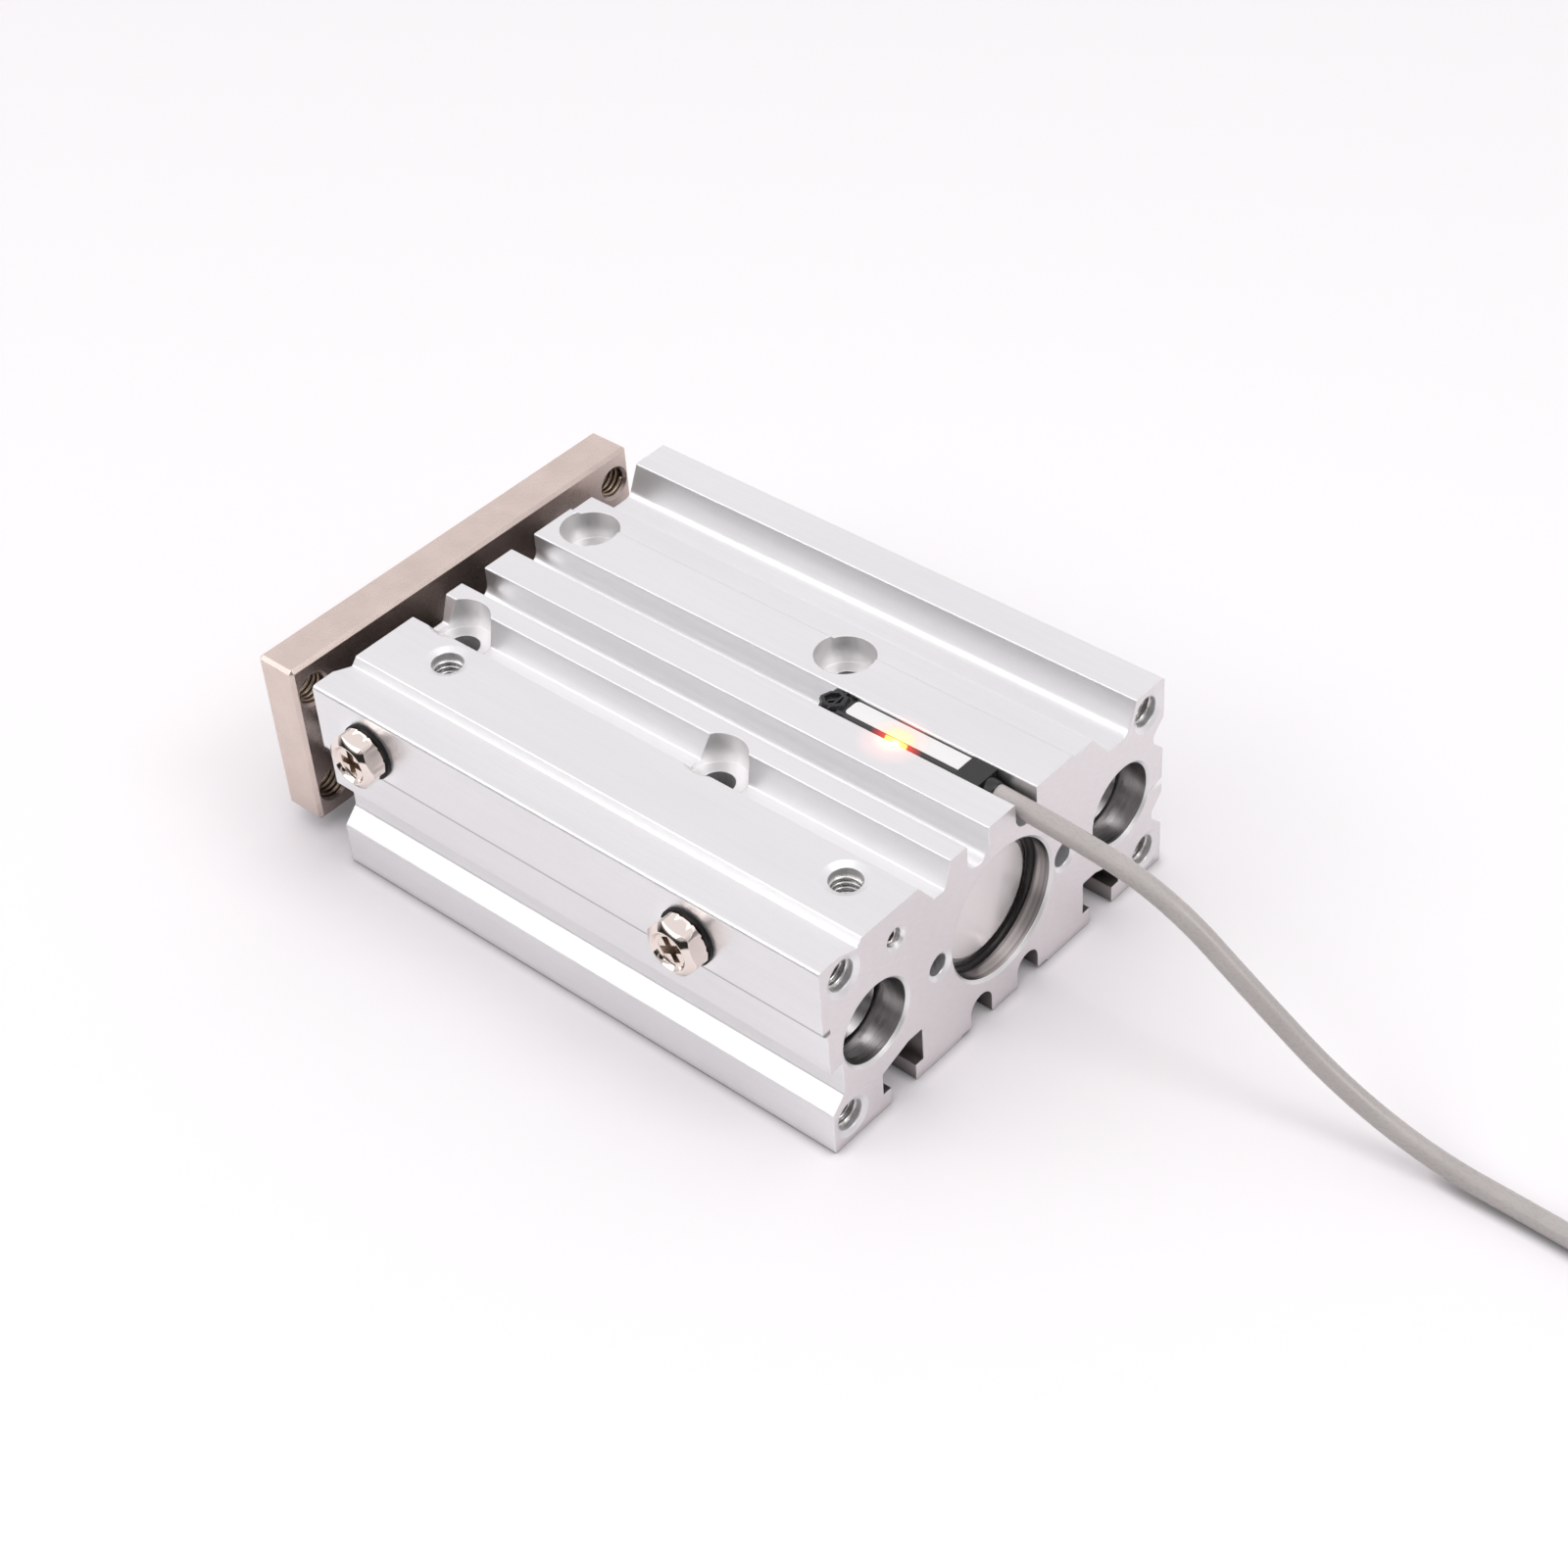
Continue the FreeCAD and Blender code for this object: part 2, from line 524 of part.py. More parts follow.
def mounting_cutters():
    tools = []
    front_row = FRONT - BODY_HOLE_FROM_FRONT
    for x in (front_row - BODY_HOLE_SPACING_X, front_row):
        for y in (-BODY_HOLE_SPACING_Y / 2, BODY_HOLE_SPACING_Y / 2):
            tools.append(hole(Vector(x, y, 0), Z_DIR, BODY_HOLE_RADIUS, TOP))
            tools.append(hole(Vector(x, y, TOP), -Z_DIR, BODY_HOLE_HEAD_RADIUS,
                              BODY_HOLE_HEAD_DEPTH, chamfer=0))
    for y in (REAR_TAP_MARGIN_Y - SIDE, SIDE - REAR_TAP_MARGIN_Y):
        for z in (REAR_TAP_MARGIN_Z, TOP - REAR_TAP_MARGIN_Z):
            mouth = Vector(REAR, y, z)
            tools.append(hole(mouth, X_DIR, M5_TAP, REAR_TAP_DEPTH, REAR_TAP_CHAMFER, True))
    tools += dowel_pair(on_axis(REAR), X_DIR, Z_DIR)
    middle = Vector(front_row - BODY_HOLE_SPACING_X / 2, 0, 0)
    tools += dowel_pair(middle, Z_DIR, X_DIR)
    return tools


def make_housing():
    corners = top_outline() + port_side_outline() + bottom_outline() + plain_side_outline()
    blank = prism(corners, HOUSING_LENGTH, X_DIR, lambda y, z: Vector(REAR, y, z))
    return blank.cut(drive_cutters() + guide_cutters() + port_cutters() + mounting_cutters())


# ---- Covers, seals and bumpers of the bore -------------------------------------------
def make_head_cover():
    outer = HEAD_RECESS_RADIUS - SEAT_FIT
    rear = REAR + WIRE_RING_SETBACK + WIRE_RING_RADIUS + SEAT_FIT
    face = rear - HEAD_COVER_RAISED
    boss = HEAD_RECESS_RADIUS - WIRE_RING_RADIUS - HEAD_COVER_RAISED
    groove = head_seal_x() - SEAL_GROOVE_WIDTH / 2
    floor = outer - SEAL_GROOVE_DEPTH
    seat = REAR_BUMPER_RADIUS + SEAT_FIT
    loop = [(face, 0), (face, boss - EDGE_ROUND), (face + EDGE_ROUND, boss), (rear, boss),
            (rear, outer), (groove, outer), (groove, floor),
            (groove + SEAL_GROOVE_WIDTH, floor), (groove + SEAL_GROOVE_WIDTH, outer),
            (HEAD_FLOOR, outer), (HEAD_FLOOR, seat), (HEAD_FLOOR - BUMPER_SEAT, seat),
            (HEAD_FLOOR - BUMPER_SEAT, 0)]
    return turned(loop, on_axis(0))


def head_seal_x():
    rear = REAR + WIRE_RING_SETBACK + WIRE_RING_RADIUS + SEAT_FIT
    return (rear + HEAD_FLOOR) / 2


def make_head_seal():
    outer = HEAD_RECESS_RADIUS
    return o_ring(head_seal_x(), outer - SEAT_FIT - SEAL_GROOVE_DEPTH, outer)


def make_wire_ring():
    """Open ring of round wire, half of it in the housing's groove."""
    opening = WIRE_RING_OPENING
    ring = Part.makeTorus(HEAD_RECESS_RADIUS, WIRE_RING_RADIUS, Vector(0, 0, 0), Z_DIR,
                          0, 360, 360 - opening)
    ring.rotate(Vector(0, 0, 0), Z_DIR, opening / 2 + WIRE_RING_TURN)
    ring.Placement = FreeCAD.Placement(on_axis(REAR + WIRE_RING_SETBACK),
                                       FreeCAD.Rotation(Z_DIR, X_DIR)).multiply(ring.Placement)
    return ring


def make_rear_bumper():
    thickness = BUMPER_SEAT + BUMPER_PROUD
    loop = [(0, 0), (0, REAR_BUMPER_RADIUS), (thickness - EDGE_ROUND, REAR_BUMPER_RADIUS),
            (thickness, REAR_BUMPER_RADIUS - EDGE_ROUND), (thickness, 0)]
    return turned(loop, on_axis(HEAD_FLOOR - BUMPER_SEAT))


def make_rod_cover():
    nose = BORE_RADIUS - SEAT_FIT
    flange = ROD_RECESS_RADIUS - SEAT_FIT
    hole_radius = ROD_RADIUS + RUNNING_FIT
    groove = ROD_COVER_NOSE / 2 - SEAL_GROOVE_WIDTH / 2
    floor = nose - SEAL_GROOVE_DEPTH
    seat = FRONT_BUMPER_RADIUS + SEAT_FIT
    seal_front = ROD_COVER_LENGTH - ROD_SEAL_SETBACK
    seal_rear = seal_front - ROD_SEAL_LENGTH
    seal_floor = ROD_RADIUS + ROD_SEAL_DEPTH + SEAT_FIT
    loop = [(0, seat), (0, nose), (groove, nose), (groove, floor),
            (groove + SEAL_GROOVE_WIDTH, floor), (groove + SEAL_GROOVE_WIDTH, nose),
            (ROD_COVER_NOSE, nose), (ROD_COVER_NOSE, flange),
            (ROD_COVER_LENGTH - EDGE_ROUND, flange), (ROD_COVER_LENGTH, flange - EDGE_ROUND),
            (ROD_COVER_LENGTH, hole_radius + MOUTH_CHAMFER),
            (ROD_COVER_LENGTH - MOUTH_CHAMFER, hole_radius), (seal_front, hole_radius),
            (seal_front, seal_floor), (seal_rear, seal_floor), (seal_rear, hole_radius),
            (BUMPER_SEAT, hole_radius), (BUMPER_SEAT, seat)]
    return turned(loop, on_axis(ROD_COVER_REAR))


def make_rod_cover_seal():
    outer = BORE_RADIUS
    x = ROD_COVER_REAR + ROD_COVER_NOSE / 2
    return o_ring(x, outer - SEAT_FIT - SEAL_GROOVE_DEPTH, outer)


def make_front_bumper():
    outer = FRONT_BUMPER_RADIUS
    inner = ROD_RADIUS + BUMPER_SEAT
    thickness = BUMPER_SEAT + BUMPER_PROUD
    loop = [(0, inner), (0, outer - EDGE_ROUND), (EDGE_ROUND, outer), (thickness, outer),
            (thickness, inner)]
    return turned(loop, on_axis(ROD_COVER_REAR - BUMPER_PROUD))


def make_rod_seal():
    """Lip seal, open towards the pressure."""
    inner = ROD_RADIUS + RUNNING_FIT
    outer = ROD_RADIUS + ROD_SEAL_DEPTH
    middle = (inner + outer) / 2
    lip = ROD_SEAL_LIP
    loop = [(0, outer - lip), (0, outer), (ROD_SEAL_LENGTH, outer), (ROD_SEAL_LENGTH, inner + lip),
            (ROD_SEAL_LENGTH / 2, inner + lip / 2), (0, inner), (0, inner + lip),
            (ROD_SEAL_LENGTH / 2, middle)]
    rear = ROD_COVER_FRONT - ROD_SEAL_SETBACK - ROD_SEAL_LENGTH
    return turned(loop, on_axis(rear))


def make_circlip():
    """Internal retaining ring with two eared ends, below the rod."""
    outer = ROD_RECESS_RADIUS + CIRCLIP_GROOVE_DEPTH - SEAT_FIT
    inner = outer - CIRCLIP_GROOVE_DEPTH - CIRCLIP_WIDTH
    size = CIRCLIP_THICKNESS
    origin = Vector(0, 0, 0)
    ring = Part.makeCylinder(outer, size).cut(Part.makeCylinder(inner, size))
    half = math.radians(CIRCLIP_OPENING / 2)
    reach = 2 * outer
    wedge = Part.Face(Part.makePolygon([
        origin, Vector(reach, reach * math.tan(half), 0),
        Vector(reach, -reach * math.tan(half), 0), origin])).extrude(Z_DIR * size)
    ring = ring.cut(wedge)
    ear_angle = half * CIRCLIP_EAR_SPREAD
    for side in (-1, 1):
        spot = Vector(inner * math.cos(ear_angle), side * inner * math.sin(ear_angle), 0)
        ear = Part.makeCylinder(CIRCLIP_EAR_RADIUS, size, spot)
        ear = ear.common(Part.makeCylinder(outer, size))
        ring = ring.fuse(ear).cut(Part.makeCylinder(CIRCLIP_EYE_RADIUS, size, spot))
    ring = ring.removeSplitter()
    ring.Placement = FreeCAD.Placement(on_axis(ROD_COVER_FRONT + CIRCLIP_SLACK / 2),
                                       FreeCAD.Rotation(Z_DIR, X_DIR))
    return ring


# ---- Guides ----------------------------------------------------------------------------
def make_bush(y, front, length):
    inner = GUIDE_RADIUS + RUNNING_FIT
    loop = [(0, inner + EDGE_ROUND), (0, BUSH_RADIUS), (length - EDGE_ROUND, BUSH_RADIUS),
            (length, BUSH_RADIUS - EDGE_ROUND), (length, inner + EDGE_ROUND),
            (length - EDGE_ROUND, inner), (EDGE_ROUND, inner)]
    return turned(loop, on_axis(front - length, y))


def make_guide_rod(y):
    start = REAR + GUIDE_ROD_SETBACK
    edge = 2 * EDGE_ROUND
    loop = [(start, 0), (start, GUIDE_RADIUS - edge), (start + edge, GUIDE_RADIUS),
            (RODS_FRONT - EDGE_ROUND, GUIDE_RADIUS), (RODS_FRONT, GUIDE_RADIUS - EDGE_ROUND),
            (RODS_FRONT, 0)]
    rod = turned(loop, on_axis(0, y))
    return rod.cut(tapped_end(y, GUIDE_BOLT))


def tapped_end(y, bolt):
    """Cutter for the thread in a rod's front end."""
    return hole(on_axis(RODS_FRONT, y), -X_DIR, bolt["tap"], bolt["reach"], pointed=True)


# ---- Piston and rod --------------------------------------------------------------------
def make_piston():
    step = PISTON_RADIUS - PISTON_STEP_DEPTH
    loop = [(PISTON_REAR, RIVET_RADIUS + SEAT_FIT), (PISTON_REAR, step),
            (PISTON_REAR + PISTON_STEP, step), (PISTON_REAR + PISTON_STEP, PISTON_RADIUS)]
    for x, width, depth in ((WEAR_RING_X, WEAR_RING_WIDTH, WEAR_RING_DEPTH),
                            (MAGNET_X, MAGNET_WIDTH, MAGNET_DEPTH),
                            (PISTON_SEAL_X, PISTON_SEAL_WIDTH, PISTON_SEAL_DEPTH)):
        floor = PISTON_RADIUS - depth
        loop += [(x, PISTON_RADIUS), (x, floor), (x + width, floor), (x + width, PISTON_RADIUS)]
    seat = ROD_RADIUS + SEAT_FIT
    spigot = ROD_SPIGOT_RADIUS + SEAT_FIT
    rivet = PISTON_REAR + RIVET_SETBACK + RIVET_HEIGHT
    loop += [(PISTON_FRONT - PISTON_STEP, PISTON_RADIUS), (PISTON_FRONT - PISTON_STEP, step),
             (PISTON_FRONT, step), (PISTON_FRONT, seat),
             (PISTON_FRONT - ROD_SHOULDER_DEPTH, seat),
             (PISTON_FRONT - ROD_SHOULDER_DEPTH, spigot), (rivet, spigot),
             (rivet, RIVET_RADIUS + SEAT_FIT)]
    return turned(loop, on_axis(0))


def make_piston_rod():
    """Rod with a thin end through the piston, riveted over behind it."""
    rivet = PISTON_REAR + RIVET_SETBACK
    shoulder = PISTON_FRONT - ROD_SHOULDER_DEPTH
    loop = [(rivet, 0), (rivet, RIVET_RADIUS - EDGE_ROUND), (rivet + EDGE_ROUND, RIVET_RADIUS),
            (rivet + RIVET_HEIGHT, RIVET_RADIUS), (rivet + RIVET_HEIGHT, ROD_SPIGOT_RADIUS),
            (shoulder, ROD_SPIGOT_RADIUS), (shoulder, ROD_RADIUS),
            (RODS_FRONT - EDGE_ROUND, ROD_RADIUS), (RODS_FRONT, ROD_RADIUS - EDGE_ROUND),
            (RODS_FRONT, 0)]
    return turned(loop, on_axis(0)).cut(tapped_end(0, ROD_BOLT))


def make_wear_ring():
    """Split guide ring in the piston's rear groove."""
    outer = BORE_RADIUS - RUNNING_FIT
    inner = PISTON_RADIUS - WEAR_RING_DEPTH + SEAT_FIT
    loop = [(0, inner), (0, outer), (WEAR_RING_WIDTH - SEAT_FIT, outer),
            (WEAR_RING_WIDTH - SEAT_FIT, inner)]
    ring = turned(loop, on_axis(WEAR_RING_X))
    split = Part.makeBox(2 * WEAR_RING_WIDTH, WEAR_RING_DEPTH, BORE,
                         on_axis(WEAR_RING_X - WEAR_RING_WIDTH / 2))
    return ring.cut(split)


def make_magnet():
    outer = PISTON_RADIUS - MAGNET_COVER
    inner = PISTON_RADIUS - MAGNET_DEPTH + SEAT_FIT
    width = MAGNET_WIDTH - SEAT_FIT
    return turned([(0, inner), (0, outer), (width, outer), (width, inner)], on_axis(MAGNET_X))


def make_piston_seal():
    """Double-lipped ring: both sides are hollowed, so that pressure spreads the lips."""
    outer = BORE_RADIUS - RUNNING_FIT
    inner = PISTON_RADIUS - PISTON_SEAL_DEPTH + SEAT_FIT
    width = PISTON_SEAL_WIDTH - SEAT_FIT
    middle = (inner + outer) / 2
    hollow = PISTON_SEAL_HOLLOW
    loop = [(0, inner), (hollow, middle), (0, outer - hollow), (hollow / 2, outer),
            (width / 2 - hollow, outer), (width / 2, outer - hollow), (width / 2 + hollow, outer),
            (width - hollow / 2, outer), (width, outer - hollow), (width - hollow, middle),
            (width, inner)]
    return turned(loop, on_axis(PISTON_SEAL_X))


# ---- End plate and its bolts -----------------------------------------------------------
def sunk_bolt_cutter(y, bolt):
    """Clearance hole and counterbore for one bolt, cut from the plate's outer face."""
    depth = bolt["height"] + HEAD_ROOM
    shank = hole(on_axis(PLATE_OUTER, y), -X_DIR, bolt["clear"], PLATE_THICKNESS, chamfer=0)
    head = hole(on_axis(PLATE_OUTER, y), -X_DIR, bolt["head"] + HEAD_ROOM, depth)
    return shank.fuse(head)


def make_end_plate():
    corner = Vector(PLATE_INNER, -PLATE_WIDTH / 2, AXIS_Z - PLATE_HEIGHT / 2)
    plate = Part.makeBox(PLATE_THICKNESS, PLATE_WIDTH, PLATE_HEIGHT, corner)
    plate = plate.makeChamfer(PLATE_EDGE, plate.Edges)
    tools = [sunk_bolt_cutter(0, ROD_BOLT)]
    tools.append(Part.makeCylinder(ROD_RADIUS + SEAT_FIT, PLATE_SPIGOT, on_axis(PLATE_INNER), X_DIR))
    for y in (-GUIDE_Y, GUIDE_Y):
        tools.append(sunk_bolt_cutter(y, GUIDE_BOLT))
        tools.append(Part.makeCylinder(GUIDE_RADIUS + SEAT_FIT, PLATE_SPIGOT,
                                       on_axis(PLATE_INNER, y), X_DIR))
    tap_y = PLATE_WIDTH / 2 - PLATE_TAP_MARGIN_Y
    tap_z = PLATE_HEIGHT / 2 - PLATE_TAP_MARGIN_Z
    for y in (-tap_y, tap_y):
        for z in (AXIS_Z - tap_z, AXIS_Z + tap_z):
            tools.append(hole(Vector(PLATE_INNER, y, z), X_DIR, M5_TAP, PLATE_THICKNESS))
            tools.append(hole(Vector(PLATE_OUTER, y, z), -X_DIR, M5_TAP, MOUTH_CHAMFER))
    return plate.cut(tools)


def make_sunk_bolt(y, bolt):
    """Low-head socket bolt, seated in its counterbore and in the rod's thread."""
    under = PLATE_OUTER - bolt["height"] - HEAD_ROOM
    top = under + bolt["height"]
    shank = bolt["clear"] - HEAD_ROOM
    thread = bolt["tap"] - SEAT_FIT
    end = RODS_FRONT - bolt["reach"] + 2 * bolt["clear"]
    loop = [(end, 0), (end, thread - EDGE_ROUND), (end + EDGE_ROUND, thread),
            (RODS_FRONT + EDGE_ROUND, thread), (RODS_FRONT + EDGE_ROUND, shank), (under, shank),
            (under, bolt["head"]), (top - EDGE_ROUND, bolt["head"]),
            (top, bolt["head"] - EDGE_ROUND), (top, 0)]
    solid = turned(loop, on_axis(0, y))
    key = hexagon(bolt["key"], bolt["height"], on_axis(top, y), -X_DIR)
    depth = bolt["height"] * KEY_DEPTH
    socket = key.common(Part.makeCylinder(bolt["key"], depth, on_axis(top, y), -X_DIR))
    return solid.cut(socket)


# ---- Port plugs ------------------------------------------------------------------------
def make_gasket(x):
    loop = [(0, GASKET_BORE), (0, GASKET_RADIUS), (GASKET_THICKNESS, GASKET_RADIUS),
            (GASKET_THICKNESS, GASKET_BORE)]
    return turned(loop, side_port(x), Y_DIR)


def make_port_plug(x, turn):
    """Hexagon head with a dished face and a cross recess, on a short thread."""
    seat = side_port(x) + Y_DIR * GASKET_THICKNESS
    corner = PLUG_AF / math.sqrt(3)
    height = PLUG_HEAD_HEIGHT
    rim = PLUG_AF / 2 - PLUG_CHAMFER / 2
    dish = rim - PLUG_RIM
    floor = height - PLUG_DISH
    blank = turned([(0, 0), (0, corner), (height - PLUG_CHAMFER, corner), (height, rim),
                    (height, dish), (floor, dish - PLUG_RIM), (floor, 0)], seat, Y_DIR)
    head = blank.common(hexagon(PLUG_AF, height, seat, Y_DIR, turn))
    thread = Part.makeCylinder(M5_TAP - SEAT_FIT, GASKET_THICKNESS + PLUG_THREAD_LENGTH, seat, -Y_DIR)
    plug = head.fuse(thread)
    for quarter in (0, 90):
        arm = cross_arm(seat + Y_DIR * floor)
        arm.rotate(seat, Y_DIR, turn + quarter)
        plug = plug.cut(arm)
    return plug.removeSplitter()


def cross_arm(face):
    """One arm of a cross recess: wide at the face and narrower at its foot."""
    span = PLUG_RECESS_SPAN / 2
    foot = span / 2
    half = PLUG_RECESS_WIDTH / 2
    points = [Vector(span, 0, -half), Vector(foot, -PLUG_RECESS_DEPTH, -half),
              Vector(-foot, -PLUG_RECESS_DEPTH, -half), Vector(-span, 0, -half)]
    points = [face + point for point in points]
    return Part.Face(Part.makePolygon(points + points[:1])).extrude(Z_DIR * 2 * half)


def make_gallery_plug():
    """Headless screw that closes the drilling between the rear ports."""
    mouth = gallery_mouth(REAR + GALLERY_PLUG_SETBACK)
    radius = M3_TAP - SEAT_FIT
    loop = [(0, 0), (0, radius - EDGE_ROUND), (EDGE_ROUND, radius),
            (GALLERY_PLUG_LENGTH, radius), (GALLERY_PLUG_LENGTH, 0)]
    socket = hexagon(M3_TAP, GALLERY_PLUG_LENGTH / 2, mouth, X_DIR)
    return turned(loop, mouth).cut(socket)


# ---- Position sensor -------------------------------------------------------------------
def sensor_section(top):
    """Outline of the sensor across the slot, with the lamp's bevel on the +Y edge."""
    half = SWITCH_SLOT_WIDTH / 2 - SENSOR_CLEARANCE
    floor = HOUSING_HEIGHT - SWITCH_SLOT_DEPTH + SENSOR_CLEARANCE
    return [(SENSOR_Y - half, top, 0), (SENSOR_Y - half, floor, half),
            (SENSOR_Y + half, floor, half), (SENSOR_Y + half, top - SENSOR_EDGE_SLOPE, 0),
            (SENSOR_Y + half - SENSOR_EDGE_SLOPE, top, 0)]


def lens_box(grow):
    """Block of the lamp's window, grown on every side for the pocket that takes it."""
    x = SENSOR_REAR + LENS_FROM_TAIL
    half = SWITCH_SLOT_WIDTH / 2 - SENSOR_CLEARANCE
    low = HOUSING_HEIGHT - SENSOR_TOP - SENSOR_LABEL_DROP - SENSOR_EDGE_SLOPE - LENS_HEIGHT / 3
    corner = Vector(x - grow, SENSOR_Y + half - SENSOR_EDGE_SLOPE - grow, low - grow)
    return Part.makeBox(LENS_LENGTH + 2 * grow, SENSOR_EDGE_SLOPE + 2 * grow,
                        SENSOR_EDGE_SLOPE + LENS_HEIGHT + 2 * grow, corner)


def make_sensor_body():
    top = HOUSING_HEIGHT - SENSOR_TOP
    flat = top - SENSOR_LABEL_DROP
    body = prism(sensor_section(flat), SENSOR_LENGTH, X_DIR, lambda y, z: Vector(SENSOR_REAR, y, z))
    tail = sensor_section(top)
    tail[3] = (tail[3][0], top, 0)
    body = body.fuse(prism(tail[:4], SENSOR_TAIL, X_DIR, lambda y, z: Vector(SENSOR_REAR, y, z)))
    body = body.removeSplitter()
    screw = Vector(SENSOR_FRONT - SENSOR_HEAD / 2, SENSOR_Y, 0)
    body = body.cut(Part.makeCylinder(SET_SCREW_RADIUS + SEAT_FIT, HOUSING_HEIGHT, screw, Z_DIR))
    return body.cut(lens_box(SEAT_FIT))


def make_sensor_lens():
    """Window over the lamp, flush with the sensor's bevelled edge."""
    flat = HOUSING_HEIGHT - SENSOR_TOP - SENSOR_LABEL_DROP
    section = prism(sensor_section(flat), SENSOR_LENGTH, X_DIR,
                    lambda y, z: Vector(SENSOR_REAR, y, z))
    return lens_box(0).common(section)


def make_sensor_screw():
    """Slotted screw whose point bears on the slot's round floor."""
    floor = HOUSING_HEIGHT - SWITCH_SLOT_DEPTH + 2 * SENSOR_CLEARANCE
    top = HOUSING_HEIGHT - SENSOR_TOP - SENSOR_LABEL_DROP
    base = Vector(SENSOR_FRONT - SENSOR_HEAD / 2, SENSOR_Y, floor)
    point = Part.makeCone(SET_SCREW_RADIUS / 3, SET_SCREW_RADIUS, SET_SCREW_POINT, base, Z_DIR)
    shank = Part.makeCylinder(SET_SCREW_RADIUS, top - floor - SET_SCREW_POINT,
                              base + Z_DIR * SET_SCREW_POINT, Z_DIR)
    slot = Part.makeBox(4 * SET_SCREW_RADIUS, SET_SCREW_SLOT, 2 * SET_SCREW_SLOT,
                        Vector(base.x - 2 * SET_SCREW_RADIUS, base.y - SET_SCREW_SLOT / 2,
                               top - 2 * SET_SCREW_SLOT))
    slot.rotate(base, Z_DIR, SET_SCREW_TURN)
    return point.fuse(shank).cut(slot)


# ---- Sensor lead -----------------------------------------------------------------------
def along_path(path):
    return [Vector(REAR - behind, y, z) for behind, y, z in path]


def tube(route, radius, name):
    """Round tube along straight runs joined by arcs as large as the runs allow."""
    edges = []
    at = route[0]
    for before, here, after in zip(route, route[1:], route[2:]):
        to_last = before - here
        to_next = after - here
        half = (math.pi - to_last.getAngle(to_next)) / 2
        back = BEND_SHARE * min(to_last.Length, to_next.Length)
        bend = back / math.tan(half)
        print(name, "bend radius", round(bend, 1))
        to_last.normalize()
        to_next.normalize()
        start = here + to_last * back
        end = here + to_next * back
        middle = to_last + to_next
        middle.normalize()
        top = here + middle * (bend / math.cos(half) - bend)
        edges.append(Part.makeLine(at, start))
        edges.append(Part.Arc(start, top, end).toShape())
        at = end
    edges.append(Part.makeLine(at, route[-1]))
    path = Part.Wire(edges)
    length = path.Length
    section = Part.Wire([Part.makeCircle(radius, route[0], route[1] - route[0])])
    solid = path.makePipeShell([section], True, False)
    print(name, "length", round(length, 2), "volume ratio",
          round(solid.Volume / (math.pi * radius ** 2 * length), 5))
    return solid


def make_lead():
    """From the sensor over the rear edge, down to the floor and along it to the coil."""
    route = [Vector(SENSOR_REAR, SENSOR_Y, CORD_Z)] + along_path(LEAD_PATH)
    return tube(route, CORD_DIAMETER / 2, "sensor_lead")


def make_lead_tail():
    """The last of the lead: off the coil's upper layer and down to the floor."""
    return tube(along_path(TAIL_PATH), CORD_DIAMETER / 2, "sensor_lead_tail")


def make_lead_coil():
    """Outer shape of four turns, two side by side in two layers."""
    inner = COIL_MEAN_RADIUS - CORD_DIAMETER
    width = 2 * CORD_DIAMETER
    corner = CORD_DIAMETER / 2
    corners = [(inner, 0, corner), (inner + width, 0, corner), (inner + width, width, corner),
               (inner, width, corner)]
    section = prism(corners, 1, Y_DIR, lambda r, z: Vector(r, 0, z)).Faces
    face = [f for f in section if abs(f.CenterOfMass.y) < 1e-6][0]
    coil = face.revolve(Vector(0, 0, 0), Z_DIR, 360)
    coil.translate(COIL_CENTRE)
    return coil


def make_lead_cores():
    """The two insulated cores that stand out of the cut sheath."""
    last, end = along_path(TAIL_PATH[-2:])
    along = end - last
    along.z = 0
    along.normalize()
    aside = along.cross(Z_DIR)
    cores = []
    for side in (-1, 1):
        start = end + aside * (side * CORE_SPACING / 2)
        cores.append(Part.makeCylinder(CORE_DIAMETER / 2, CORE_LENGTH, start, along))
    return Part.makeCompound(cores)


